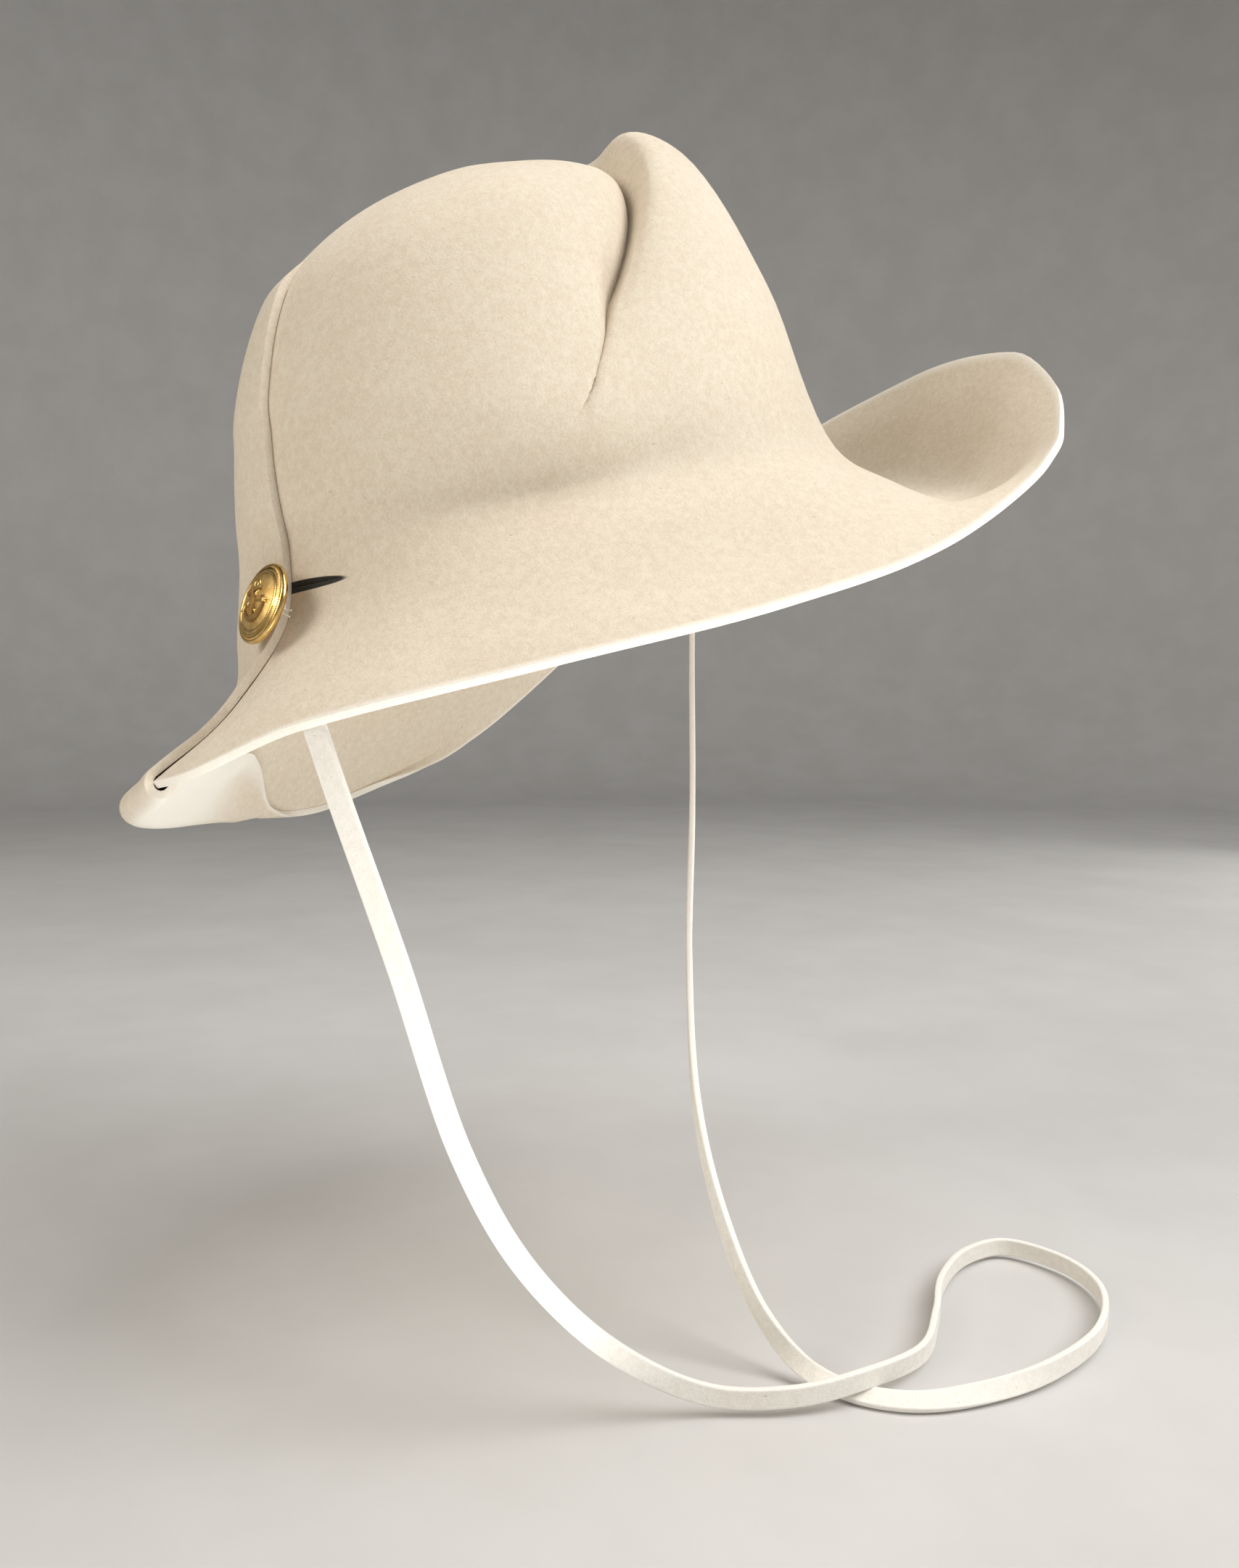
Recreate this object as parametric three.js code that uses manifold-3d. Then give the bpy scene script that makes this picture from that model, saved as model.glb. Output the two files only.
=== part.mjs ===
// A soft felt hat: one piece of felt with a creased crown and a lapped front,
// a metal button and a felt chin strap.
// Millimetres, +Z up. The front (the lapped end) is -Y and the wearer's left is +X.
// The origin is the centre of the head opening.
import * as THREE from 'three';
import { mergeVertices } from 'three/addons/utils/BufferGeometryUtils.js';
import Module from 'manifold-3d';

const wasm = await Module();
wasm.setup();

const { degToRad, smoothstep } = THREE.MathUtils;

// Felt body
const FELT = 2.5;
const LAYER_GAP = 0.4;
const WORN_TILT = 14;
const DOME_HEIGHT = 105.5;

// Half of the crown, a row for each section from the front (0) to the back (180): the radius and the height
// of each key in turn, cap, dome, crease, ridge, shoulder, wall and waist
const CROWN = [
  { angle: 0, radius: [39, 73, 91, 93.5, 96, 98.5, 101], height: [98, 76, 44, 34, 24, 13, 0] },
  { angle: 30, radius: [38, 70, 88.5, 91.5, 93.8, 95.3, 96], height: [97.5, 76, 40, 31, 22, 11, -0.5] },
  { angle: 60, radius: [36, 66, 89, 90, 90, 89, 87.5], height: [98, 78, 25, 18.5, 12, 5.5, -1.5] },
  { angle: 75, radius: [35, 62, 83.5, 86, 87.3, 87, 85.8], height: [98, 81, 29, 23.5, 17, 8.5, -1] },
  { angle: 90, radius: [33, 56, 70.5, 76, 81, 84.3, 84.3], height: [98.5, 83, 50, 43, 32, 16, 0] },
  { angle: 120, radius: [26, 43, 55, 62, 71, 83, 90.5], height: [102, 94, 81, 86.5, 76, 42, -1] },
  { angle: 150, radius: [20, 34, 42, 50.5, 65, 84, 96.5], height: [104, 101, 98, 108, 99.5, 54, -3] },
  { angle: 180, radius: [18, 30, 39, 47.5, 61, 85, 97.5], height: [105, 103.5, 101, 110, 104, 56, -3] },
];

// The brim all round, from the tucked end of the near layer to the lapped end of the far layer:
// the radius and the height of the inner, middle and rim keys. The lip is the last stretch of felt,
// and curl is how far it rolls under (degrees), tighter where the lip is short.
const BRIM = [
  { angle: -30, radius: [105, 112, 143], height: [-21, -45, -60], lip: 4, curl: 0 },
  { angle: -6, radius: [106.3, 114.8, 145.5], height: [-20.3, -43.2, -58.2], lip: 3, curl: 0 },
  { angle: 5, radius: [106.5, 120.2, 147.8], height: [-20.2, -41, -55.5], lip: 1.8, curl: 0 },
  { angle: 16, radius: [106, 125.8, 145.8], height: [-20, -38.5, -51.9], lip: 3.5, curl: 0 },
  { angle: 30, radius: [103, 119, 132], height: [-18, -33, -43], lip: 6, curl: 0 },
  { angle: 60, radius: [98, 111, 122], height: [-16, -31, -40], lip: 6, curl: 0 },
  { angle: 90, radius: [95, 109, 120], height: [-14, -30, -39], lip: 6, curl: 0 },
  { angle: 120, radius: [103, 118, 130], height: [-13, -26, -34], lip: 6, curl: 0 },
  { angle: 150, radius: [114, 141, 165], height: [-19, -31, -17], lip: 9, curl: 0 },
  { angle: 158, radius: [115.2, 144, 174], height: [-18.5, -27, -3.8], lip: 12, curl: 0 },
  { angle: 165, radius: [116, 146, 173.5], height: [-18, -23, 8.5], lip: 14, curl: 0 },
  { angle: 180, radius: [116, 143, 164], height: [-17, -15, 12.5], lip: 12.5, curl: 0 },
  { angle: 210, radius: [112, 135, 153], height: [-12, -13, -2], lip: 7, curl: 0 },
  { angle: 240, radius: [103, 122, 138], height: [-15, -36, -46], lip: 6, curl: 0 },
  { angle: 270, radius: [95, 112, 129], height: [-22, -54, -80], lip: 6, curl: 0 },
  { angle: 300, radius: [100, 120, 139], height: [-24, -60, -92], lip: 3, curl: 150 },
  { angle: 315, radius: [104, 123, 143], height: [-23, -56, -86], lip: 8, curl: 178 },
  { angle: 322, radius: [105.5, 122, 146.5], height: [-22.5, -52, -79], lip: 32, curl: 187 },
  { angle: 330, radius: [105.5, 119, 149.5], height: [-22, -49.5, -74], lip: 40, curl: 186 },
  { angle: 345, radius: [106, 114, 154.5], height: [-20, -45, -67], lip: 39, curl: 185 },
  { angle: 352, radius: [106.5, 114.5, 154], height: [-20, -43.5, -63.5], lip: 38, curl: 185.5 },
  { angle: 360, radius: [106.5, 117, 149], height: [-20, -42, -58.5], lip: 37, curl: 186.5 },
  { angle: 367, radius: [106.5, 121, 148], height: [-20, -40.8, -54.5], lip: 36, curl: 188 },
  { angle: 376, radius: [106, 125.8, 146], height: [-20, -38.5, -52.5], lip: 35, curl: 190 },
];
const ROLL_RADIUS = 3.6;
const ROLL_FULL_LIP = 32;
const ROLL_LEAST = FELT / 2 + 0.2;
const LIP_CROWDING = 1.6;

// Rows run down the felt: the pole is 0 and each key is one more, so the crease is 3, the waist 7
// and the rim 10
const RIM_ROW = 10;
const END_ROW = 11;
const ROW_STEPS = [2, 3, 4, 4, 2, 2, 2, 2, 3, 3, 7];

// The crease across the back of the crown: where it starts on each side, its depth, how far it pulls
// the felt, and the row that it follows at each angle from the front
const CREASE = { from: 68, full: 96, depth: 13, capReach: 0.6, ridgeReach: 0.35 };
const CREASE_CORE = [0, 10, 25];
const CREASE_LINE = [
  { angle: 68, row: 5.2 },
  { angle: 74, row: 4.5 },
  { angle: 80, row: 3.5 },
  { angle: 90, row: 3 },
];

// The lap: the angle of the far layer's edge and of the near layer's tucked edge at each row,
// from the slit's top
const LAP = [
  { row: 1.67, edge: 8, tuck: 8 },
  { row: 1.95, edge: 9, tuck: 7.6 },
  { row: 2.3, edge: 10, tuck: 3 },
  { row: 3, edge: 11.5, tuck: -2 },
  { row: 5, edge: 13.4, tuck: -4 },
  { row: 7, edge: 15.2, tuck: -4 },
  { row: 8.5, edge: 14.8, tuck: -3 },
  { row: 9.3, edge: 12.2, tuck: -2 },
  { row: 10, edge: 7, tuck: -2 },
  { row: 11, edge: 5.5, tuck: -1 },
];
const SLIT_TOP = LAP[0].row;
const LIFT_SPAN = 0.45;
const LIFT_START = 24;
const LIFT_END = 5;

// Columns go round the felt: the share of a turn (degrees) that each span takes, and its steps
const COLUMN_SPANS = [
  { upTo: 30, steps: 7 },
  { upTo: 70, steps: 6 },
  { upTo: 112, steps: 11 },
  { upTo: 248, steps: 20 },
  { upTo: 290, steps: 11 },
  { upTo: 326, steps: 6 },
  { upTo: 360, steps: 9 },
];

// The buttonhole in the near layer, beside the button
const SLIT = { angle: 20, row: 7.55, length: 29, width: 3, lean: 3, outside: 0.25 };

// Button
const BUTTON_RADIUS = 12;
const BUTTON = { rim: 2.4, dome: 4.4, stand: 3.8, stem: 2.2, relief: 0.5 };
const BUTTON_PLACE = { angle: 375.6, row: 7.9, gap: 1.15, tip: 2 };

// Chin strap: width, thickness and the route of its centre line from the near brim to the far brim.
// lean turns the strap from standing on its edge (0) towards lying flat (90).
const STRAP_WIDTH = 6.2;
const STRAP_THICK = 2.2;
const STRAP_STEPS = 78;
const ROUTE = [
  { at: [69.7, -98.5, -74.2], lean: 0 },
  { at: [73, -94.4, -89.7], lean: 0 },
  { at: [81, -80.9, -135.2], lean: 0 },
  { at: [85, -65.4, -186.7], lean: 0 },
  { at: [86, -47.9, -220.2], lean: 0 },
  { at: [87, -20.9, -250.2], lean: 0 },
  { at: [94, 6.1, -266.2], lean: 0 },
  { at: [105, 29.1, -267.2], lean: 0 },
  { at: [109, 50.1, -265.7], lean: 0 },
  { at: [102, 79.1, -268.2], lean: 0 },
  { at: [86, 99.1, -268.7], lean: 0 },
  { at: [68, 118.1, -268.7], lean: 0 },
  { at: [56, 141.1, -268.7], lean: 0 },
  { at: [57, 159.1, -268.7], lean: 0 },
  { at: [78, 167.1, -268.7], lean: 0 },
  { at: [99, 161.1, -268.7], lean: 0 },
  { at: [118, 139.1, -268.7], lean: 0 },
  { at: [127, 109.1, -268.7], lean: 10 },
  { at: [126, 83.1, -269.7], lean: 40 },
  { at: [119, 61.1, -270.4], lean: 65 },
  { at: [106, 48.1, -270.4], lean: 65 },
  { at: [92, 41.1, -267.7], lean: 30 },
  { at: [77, 35.1, -255.2], lean: 0 },
  { at: [60, 32.1, -231.2], lean: 0 },
  { at: [40, 35.1, -202.2], lean: 0 },
  { at: [13, 48.1, -159.2], lean: 0 },
  { at: [-18, 68.1, -104.2], lean: 0 },
  { at: [-45, 84.1, -46.2], lean: 0 },
  { at: [-60.8, 94.3, 8.2], lean: 0 },
];

const FELT_COLOUR = 0xe6d9c1;
const STRAP_COLOUR = 0xefe6d6;
const BRASS_COLOUR = 0xb8924a;

// A column of a section table at any angle: a smooth curve through the rows, level at both ends
function blend(table, angle, column) {
  const after = table.findIndex((row) => row.angle > angle);
  const i = Math.max(after < 0 ? table.length - 2 : after - 1, 0);
  const slope = (k) => {
    if (k === 0 || k === table.length - 1) return 0;
    return (column(table[k + 1]) - column(table[k - 1])) / (table[k + 1].angle - table[k - 1].angle);
  };
  const span = table[i + 1].angle - table[i].angle;
  const t = THREE.MathUtils.clamp((angle - table[i].angle) / span, 0, 1);
  const [a, b] = [column(table[i]), column(table[i + 1])];
  const rise = t * t * (3 - 2 * t);
  return a + (b - a) * rise + span * (slope(i) * t * (1 - t) ** 2 - slope(i + 1) * t * t * (1 - t));
}

// A column of a short table, straight between its rows: key names the column that the place runs along
function along(table, key, place, column) {
  const after = table.findIndex((line) => line[key] > place);
  const i = after < 0 ? table.length - 1 : Math.max(after, 1);
  const [a, b] = [table[i - 1], table[i]];
  const t = THREE.MathUtils.clamp((place - a[key]) / (b[key] - a[key]), 0, 1);
  return a[column] + (b[column] - a[column]) * t;
}

// How far round an angle lies from the front, on either side
function fromFront(angle) {
  return Math.abs(THREE.MathUtils.euclideanModulo(angle + 180, 360) - 180);
}

// The key points [radius, height] of the section at an angle, from the dome's middle to the rim
function sectionKeys(angle) {
  const points = (table, at) => table[0].radius.map((_, k) => [
    blend(table, at, (row) => row.radius[k]),
    blend(table, at, (row) => row.height[k]),
  ]);
  const lip = blend(BRIM, angle, (row) => row.lip);
  const curl = degToRad(Math.max(blend(BRIM, angle, (row) => row.curl), 0));
  return { keys: [...points(CROWN, fromFront(angle)), ...points(BRIM, angle)], lip, curl };
}

// Sections are worked out once for each angle
const sections = new Map();
function section(angle) {
  const name = angle.toFixed(4);
  if (!sections.has(name)) {
    const { keys, lip, curl } = sectionKeys(angle);
    const mirroredCap = [-keys[0][0], keys[0][1]];
    const points = [mirroredCap, [0, DOME_HEIGHT], ...keys].map(([r, z]) => new THREE.Vector3(r, 0, z));
    sections.set(name, { curve: new THREE.CatmullRomCurve3(points, false, 'centripetal'), lip, curl });
  }
  return sections.get(name);
}

// How far the far layer stands off to lie over the near one
function lapLift(angle, row) {
  const tucked = 360 + along(LAP, 'row', row, 'tuck');
  const round = smoothstep(angle, tucked - LIFT_START, tucked - LIFT_END);
  const down = smoothstep(row, SLIT_TOP, SLIT_TOP + LIFT_SPAN);
  return (FELT + LAYER_GAP) * round * down;
}

// The end of the brim past the rim: an arc that rolls under, then straight felt
function lipPoint(start, direction, lip, curl, share) {
  const inward = new THREE.Vector3(direction.z, 0, -direction.x);
  const radius = Math.max(ROLL_RADIUS * Math.min(lip / ROLL_FULL_LIP, 1), ROLL_LEAST);
  const arc = Math.min(lip, radius * curl);
  const reach = lip * share ** LIP_CROWDING;
  const turned = Math.min(reach, arc) / radius;
  const point = start.clone();
  point.addScaledVector(direction, radius * Math.sin(turned));
  point.addScaledVector(inward, radius * (1 - Math.cos(turned)));
  const rest = Math.max(reach - arc, 0);
  point.addScaledVector(direction, rest * Math.cos(turned));
  return point.addScaledVector(inward, rest * Math.sin(turned));
}

// How far the crease pulls the felt inwards
function creasePull(angle, row) {
  const away = row - along(CREASE_LINE, 'angle', fromFront(angle), 'row');
  const left = away < 0 ? (1 + away / CREASE.capReach) : (1 - away / CREASE.ridgeReach);
  const power = away < 0 ? 2.2 : 1.4;
  return CREASE.depth * smoothstep(fromFront(angle), CREASE.from, CREASE.full) * Math.max(left, 0) ** power;
}

// The middle of the felt at an angle and a row
function feltPoint(angle, row) {
  const { curve, lip, curl } = section(angle);
  const t = (Math.min(row, RIM_ROW) + 1) / END_ROW;
  const flat = curve.getPoint(t);
  const direction = curve.getTangent(t);
  const lift = lapLift(angle, row);
  flat.addScaledVector(new THREE.Vector3(-direction.z, 0, direction.x), lift);
  const end = row > RIM_ROW ? lipPoint(flat, direction, lip, curl, row - RIM_ROW) : flat;
  const a = degToRad(angle);
  const point = new THREE.Vector3(end.x * Math.sin(a), -end.x * Math.cos(a), end.z);
  const inwards = new THREE.Vector3(...CREASE_CORE).sub(point).normalize();
  return point.addScaledVector(inwards, creasePull(angle, row));
}

// The outward direction of the felt at an angle and a row
function feltNormal(angle, row) {
  const [da, dr] = [0.4, 0.02];
  const high = Math.min(row + dr, END_ROW);
  const down = feltPoint(angle, high).sub(feltPoint(angle, Math.max(row - dr, 0.001)));
  const round = feltPoint(angle + da, row).sub(feltPoint(angle - da, row));
  return down.cross(round).normalize();
}

// Triangles collected as one closed body
class Sheet {
  constructor() {
    this.corners = [];
  }

  triangle(a, b, c) {
    for (const p of [a, b, c]) this.corners.push(p.x, p.y, p.z);
  }

  quad(a, b, c, d) {
    this.triangle(a, b, c);
    this.triangle(a, c, d);
  }

  geometry() {
    const body = new THREE.BufferGeometry();
    body.setAttribute('position', new THREE.Float32BufferAttribute(this.corners, 3));
    return mergeVertices(body, 1e-4);
  }
}

// Rows of the felt from the pole to the edge, and the shares of a turn of its columns
function feltRows() {
  const rows = [0];
  ROW_STEPS.forEach((steps, span) => {
    for (let k = 1; k <= steps; k += 1) rows.push(span + k / steps);
  });
  return rows;
}

function feltColumns() {
  const shares = [0];
  let start = 0;
  for (const { upTo, steps } of COLUMN_SPANS) {
    for (let k = 1; k <= steps; k += 1) shares.push((start + ((upTo - start) * k) / steps) / 360);
    start = upTo;
  }
  return shares;
}

// The felt as a closed sheet: an outer and an inner skin, joined along the brim's edge and both edges
// of the slit
function feltBody() {
  const rows = feltRows();
  const columns = feltColumns();
  const last = columns.length - 1;
  const skins = { outer: FELT / 2, inner: -FELT / 2 };
  const grid = {};
  for (const [name, offset] of Object.entries(skins)) {
    grid[name] = rows.map((row) => {
      if (row === 0) return columns.map(() => new THREE.Vector3(0, 0, DOME_HEIGHT + offset));
      const tuck = along(LAP, 'row', row, 'tuck');
      const turn = 360 + along(LAP, 'row', row, 'edge') - tuck;
      const points = columns.map((share) => {
        const angle = tuck + share * turn;
        return feltPoint(angle, row).addScaledVector(feltNormal(angle, row), offset);
      });
      if (row <= SLIT_TOP) points[last] = points[0];
      return points;
    });
  }
  const sheet = new Sheet();
  const { outer, inner } = grid;
  for (let i = 0; i < rows.length - 1; i += 1) {
    for (let j = 0; j < last; j += 1) {
      if (i === 0) {
        sheet.triangle(outer[0][0], outer[1][j], outer[1][j + 1]);
        sheet.triangle(inner[0][0], inner[1][j + 1], inner[1][j]);
      } else {
        sheet.quad(outer[i][j], outer[i + 1][j], outer[i + 1][j + 1], outer[i][j + 1]);
        sheet.quad(inner[i][j], inner[i][j + 1], inner[i + 1][j + 1], inner[i + 1][j]);
      }
    }
    if (rows[i + 1] > SLIT_TOP) {
      sheet.quad(outer[i][0], inner[i][0], inner[i + 1][0], outer[i + 1][0]);
      sheet.quad(outer[i][last], outer[i + 1][last], inner[i + 1][last], inner[i][last]);
    }
  }
  const edge = rows.length - 1;
  for (let j = 0; j < last; j += 1) {
    sheet.quad(outer[edge][j], inner[edge][j], inner[edge][j + 1], outer[edge][j + 1]);
  }
  return sheet.geometry();
}

// Joining and cutting of closed bodies
function solidOf(geometry) {
  const bare = geometry.clone();
  bare.deleteAttribute('normal');
  bare.deleteAttribute('uv');
  const body = mergeVertices(bare, 1e-4);
  const vertProperties = new Float32Array(body.attributes.position.array);
  const triVerts = new Uint32Array(body.index.array);
  return new wasm.Manifold(new wasm.Mesh({ numProp: 3, vertProperties, triVerts }));
}

function geometryOf(solid) {
  const { vertProperties, triVerts } = solid.getMesh();
  const body = new THREE.BufferGeometry();
  body.setAttribute('position', new THREE.Float32BufferAttribute(vertProperties, 3));
  body.setIndex(new THREE.Uint32BufferAttribute(triVerts, 1));
  return body;
}

// A frame on the felt's outer face: Z along its outward direction, X round the hat and Y up the felt
function frameOn(angle, row, standOff) {
  const normal = feltNormal(angle, row);
  const across = feltPoint(angle + 1, row).sub(feltPoint(angle - 1, row));
  const up = normal.clone().cross(across).normalize();
  const round = up.clone().cross(normal);
  const place = feltPoint(angle, row).addScaledVector(normal, standOff);
  return new THREE.Matrix4().makeBasis(round, up, normal).setPosition(place);
}

// The buttonhole: a leaf-shaped cutter through the near layer only
function slitCutter() {
  const half = SLIT.length / 2;
  const leaf = new THREE.Shape();
  leaf.moveTo(-half, 0);
  leaf.quadraticCurveTo(0, SLIT.width, half, 0);
  leaf.quadraticCurveTo(0, -SLIT.width, -half, 0);
  const depth = 3 * FELT;
  const cutter = new THREE.ExtrudeGeometry(leaf, { depth, bevelEnabled: false, curveSegments: 8 });
  cutter.translate(0, 0, -depth);
  cutter.rotateZ(degToRad(SLIT.lean));
  return cutter.applyMatrix4(frameOn(SLIT.angle, SLIT.row, FELT / 2 + SLIT.outside));
}

// The anchor raised on the button: stem, stock, arms and ring, drawn in the button's plane
function anchorShapes() {
  const bar = (x, y, width, height) => {
    const shape = new THREE.Shape();
    shape.moveTo(x - width / 2, y - height / 2);
    shape.lineTo(x + width / 2, y - height / 2);
    shape.lineTo(x + width / 2, y + height / 2);
    shape.lineTo(x - width / 2, y + height / 2);
    return shape;
  };
  const arms = new THREE.Shape();
  arms.absarc(0, -0.2, 5.6, degToRad(200), degToRad(340), false);
  arms.absarc(0, 0.8, 5.2, degToRad(335), degToRad(205), true);
  const ring = new THREE.Shape();
  ring.absarc(0, 6, 1.7, 0, 2 * Math.PI, false);
  const eye = new THREE.Path();
  eye.absarc(0, 6, 0.8, 0, 2 * Math.PI, true);
  ring.holes.push(eye);
  return [bar(0, -0.5, 1.5, 10), bar(0, 3, 6.4, 1.3), arms, ring];
}

// The button: a domed disc with a rolled rim on a short stem, and the anchor joined to it
function button() {
  const { rim, dome, stand, stem } = BUTTON;
  const edge = BUTTON_RADIUS;
  const outline = [
    [0, -stand], [stem, -stand], [stem, 0],
    [edge - 1.2, 0], [edge - 0.3, 0.5], [edge, 1.2], [edge - 0.4, 2],
    [edge - 1.3, rim], [edge - 2.2, rim + 0.5], [edge - 2.7, rim + 0.1],
    [6.5, dome - 0.8], [3.3, dome - 0.2], [0, dome],
  ].map(([r, z]) => new THREE.Vector2(r, z + stand));
  const body = new THREE.LatheGeometry(outline, 32);
  body.rotateX(Math.PI / 2);
  let solid = solidOf(body);
  const depth = dome + BUTTON.relief - 1.5;
  for (const shape of anchorShapes()) {
    const raised = new THREE.ExtrudeGeometry(shape, { depth, bevelEnabled: false, curveSegments: 8 });
    raised.translate(0, 0, stand + 1.5);
    solid = solid.add(solidOf(raised));
  }
  return geometryOf(solid);
}

// The strap: a flat section carried along the route, its broad face upright unless it leans
function chinStrap() {
  const route = new THREE.CatmullRomCurve3(ROUTE.map(({ at }) => new THREE.Vector3(...at)));
  const leans = new THREE.CatmullRomCurve3(ROUTE.map(({ lean }, k) => new THREE.Vector3(k, lean, 0)));
  const up = new THREE.Vector3(0, 0, 1);
  const rings = [];
  for (let k = 0; k <= STRAP_STEPS; k += 1) {
    const t = route.getUtoTmapping(k / STRAP_STEPS);
    const middle = route.getPoint(t);
    const direction = route.getTangent(t);
    const face = up.clone().cross(direction).normalize();
    face.applyAxisAngle(direction, degToRad(leans.getPoint(t).y));
    const broad = direction.clone().cross(face);
    const corner = (u, v) => middle.clone()
      .addScaledVector(broad, (u * STRAP_WIDTH) / 2)
      .addScaledVector(face, (v * STRAP_THICK) / 2);
    rings.push([corner(-1, -1), corner(-1, 1), corner(1, 1), corner(1, -1)]);
  }
  const sheet = new Sheet();
  for (let k = 0; k < STRAP_STEPS; k += 1) {
    for (let c = 0; c < 4; c += 1) {
      const d = (c + 1) % 4;
      sheet.quad(rings[k][c], rings[k][d], rings[k + 1][d], rings[k + 1][c]);
    }
  }
  sheet.quad(...rings[0].slice().reverse());
  sheet.quad(...rings[STRAP_STEPS]);
  return sheet.geometry();
}

function named(name, geometry, material) {
  const mesh = new THREE.Mesh(geometry, material);
  mesh.name = name;
  return mesh;
}

const felt = new THREE.MeshStandardMaterial({ color: FELT_COLOUR, roughness: 0.95, metalness: 0 });
const strapFelt = new THREE.MeshStandardMaterial({ color: STRAP_COLOUR, roughness: 0.95, metalness: 0 });
const brass = new THREE.MeshStandardMaterial({ color: BRASS_COLOUR, roughness: 0.3, metalness: 1 });

const hat = new THREE.Group();
hat.rotation.x = degToRad(WORN_TILT);
hat.add(named('felt_body', geometryOf(solidOf(feltBody()).subtract(solidOf(slitCutter()))), felt));
const buttonMesh = named('button', button(), brass);
frameOn(BUTTON_PLACE.angle, BUTTON_PLACE.row, FELT / 2 + BUTTON_PLACE.gap)
  .decompose(buttonMesh.position, buttonMesh.quaternion, buttonMesh.scale);
buttonMesh.rotateX(degToRad(-BUTTON_PLACE.tip));
hat.add(buttonMesh);

const part = new THREE.Group();
part.add(hat, named('chin_strap', chinStrap(), strapFelt));

export default part;
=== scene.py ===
# %% [markdown]
# # A felt hat with a lapped front
# The real hat is one piece of cream wool felt, blocked into a crown and a brim, slit at the front so
# that one side laps over the other, and closed there by a metal button. A narrow felt strap hangs
# from the brim. Everything is built in metres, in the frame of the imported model, so each piece goes
# straight to its place and nothing has to be fitted afterwards.

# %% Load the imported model
import math

import bmesh
import bpy
import numpy as np
from mathutils import Matrix, Vector, kdtree, noise


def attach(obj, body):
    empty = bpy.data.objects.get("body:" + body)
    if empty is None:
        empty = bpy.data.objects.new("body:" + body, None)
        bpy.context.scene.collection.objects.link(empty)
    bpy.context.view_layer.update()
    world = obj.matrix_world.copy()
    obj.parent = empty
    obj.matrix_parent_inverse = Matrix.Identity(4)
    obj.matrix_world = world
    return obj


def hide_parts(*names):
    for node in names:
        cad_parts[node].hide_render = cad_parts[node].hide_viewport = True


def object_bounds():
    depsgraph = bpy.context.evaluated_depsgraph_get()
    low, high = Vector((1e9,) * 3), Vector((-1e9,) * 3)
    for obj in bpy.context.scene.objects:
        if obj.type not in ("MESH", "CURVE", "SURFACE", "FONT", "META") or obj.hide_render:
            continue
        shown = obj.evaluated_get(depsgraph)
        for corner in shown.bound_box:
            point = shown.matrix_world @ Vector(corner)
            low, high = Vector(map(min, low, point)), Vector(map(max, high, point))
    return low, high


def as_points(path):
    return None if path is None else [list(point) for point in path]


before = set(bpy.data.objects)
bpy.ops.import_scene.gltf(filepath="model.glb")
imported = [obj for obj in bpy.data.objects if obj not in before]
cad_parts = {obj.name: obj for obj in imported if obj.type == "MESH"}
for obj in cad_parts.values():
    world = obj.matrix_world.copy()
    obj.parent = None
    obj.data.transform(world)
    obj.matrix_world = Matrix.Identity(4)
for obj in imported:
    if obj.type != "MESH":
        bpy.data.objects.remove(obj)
CAD_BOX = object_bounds()
MM = 0.001
print("CAD box", [round(v, 4) for v in (*CAD_BOX[0], *CAD_BOX[1])])

# %% [markdown]
# ## Camera
# The camera stands close to the hat, to the wearer's left and a bit in front, a little below the back of
# the brim, and looks slightly down. With a sensor as wide as the lens is long, the picture is as wide
# as the distance to what it shows.

# %% Camera
# Metres, then degrees, then millimetres
CAMERA_PLACE = (0.38752, -0.17919, -0.06921)
CAMERA_TURN = 62
CAMERA_DIP = 3.4
LENS = 36
SENSOR_WIDTH = 36

camera_data = bpy.data.cameras.new("camera")
camera_data.lens = LENS
camera_data.sensor_fit = "HORIZONTAL"
camera_data.sensor_width = SENSOR_WIDTH
camera = bpy.data.objects.new("camera", camera_data)
camera.location = CAMERA_PLACE
camera.rotation_euler = (math.radians(90 - CAMERA_DIP), 0, math.radians(CAMERA_TURN))
bpy.context.scene.collection.objects.link(camera)
bpy.context.scene.camera = camera
print("camera at", CAMERA_PLACE)

# %% [markdown]
# ## A smooth curve through points
# The strap's centre line and the felt's sections are both smooth curves through a few points. A
# centripetal Catmull-Rom curve passes through every point and doesn't overshoot where the points
# crowd together, so it suits a route that is drawn. The function works on many curves at once.

# %% Smooth curves
TINY = 1e-9


def unit_rows(vectors):
    """The directions of vectors that stand in rows."""
    return vectors / np.maximum(np.linalg.norm(vectors, axis=1, keepdims=True), TINY)


def smooth_curve(points, place):
    """Points and directions on curves through points[curve, point], at places counted in points."""
    whole = np.clip(np.floor(place).astype(int), 0, points.shape[1] - 2)
    part = (place - whole)[:, None]
    before = 2 * points[:, :1] - points[:, 1:2]
    after = 2 * points[:, -1:] - points[:, -2:-1]
    longer = np.concatenate([before, points, after], axis=1)
    p0, p1, p2, p3 = (longer[np.arange(len(points)), whole + k] for k in range(4))
    d0, d1, d2 = (np.sqrt(np.linalg.norm(b - a, axis=1, keepdims=True))
                  for a, b in ((p0, p1), (p1, p2), (p2, p3)))
    enter = ((p1 - p0) / d0 - (p2 - p0) / (d0 + d1) + (p2 - p1) / d1) * d1
    leave = ((p2 - p1) / d1 - (p3 - p1) / (d1 + d2) + (p3 - p2) / d2) * d1
    square = 3 * (p2 - p1) - 2 * enter - leave
    cube = 2 * (p1 - p2) + enter + leave
    here = p1 + part * (enter + part * (square + part * cube))
    direction = enter + part * (2 * square + 3 * part * cube)
    return here, unit_rows(direction)


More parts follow.
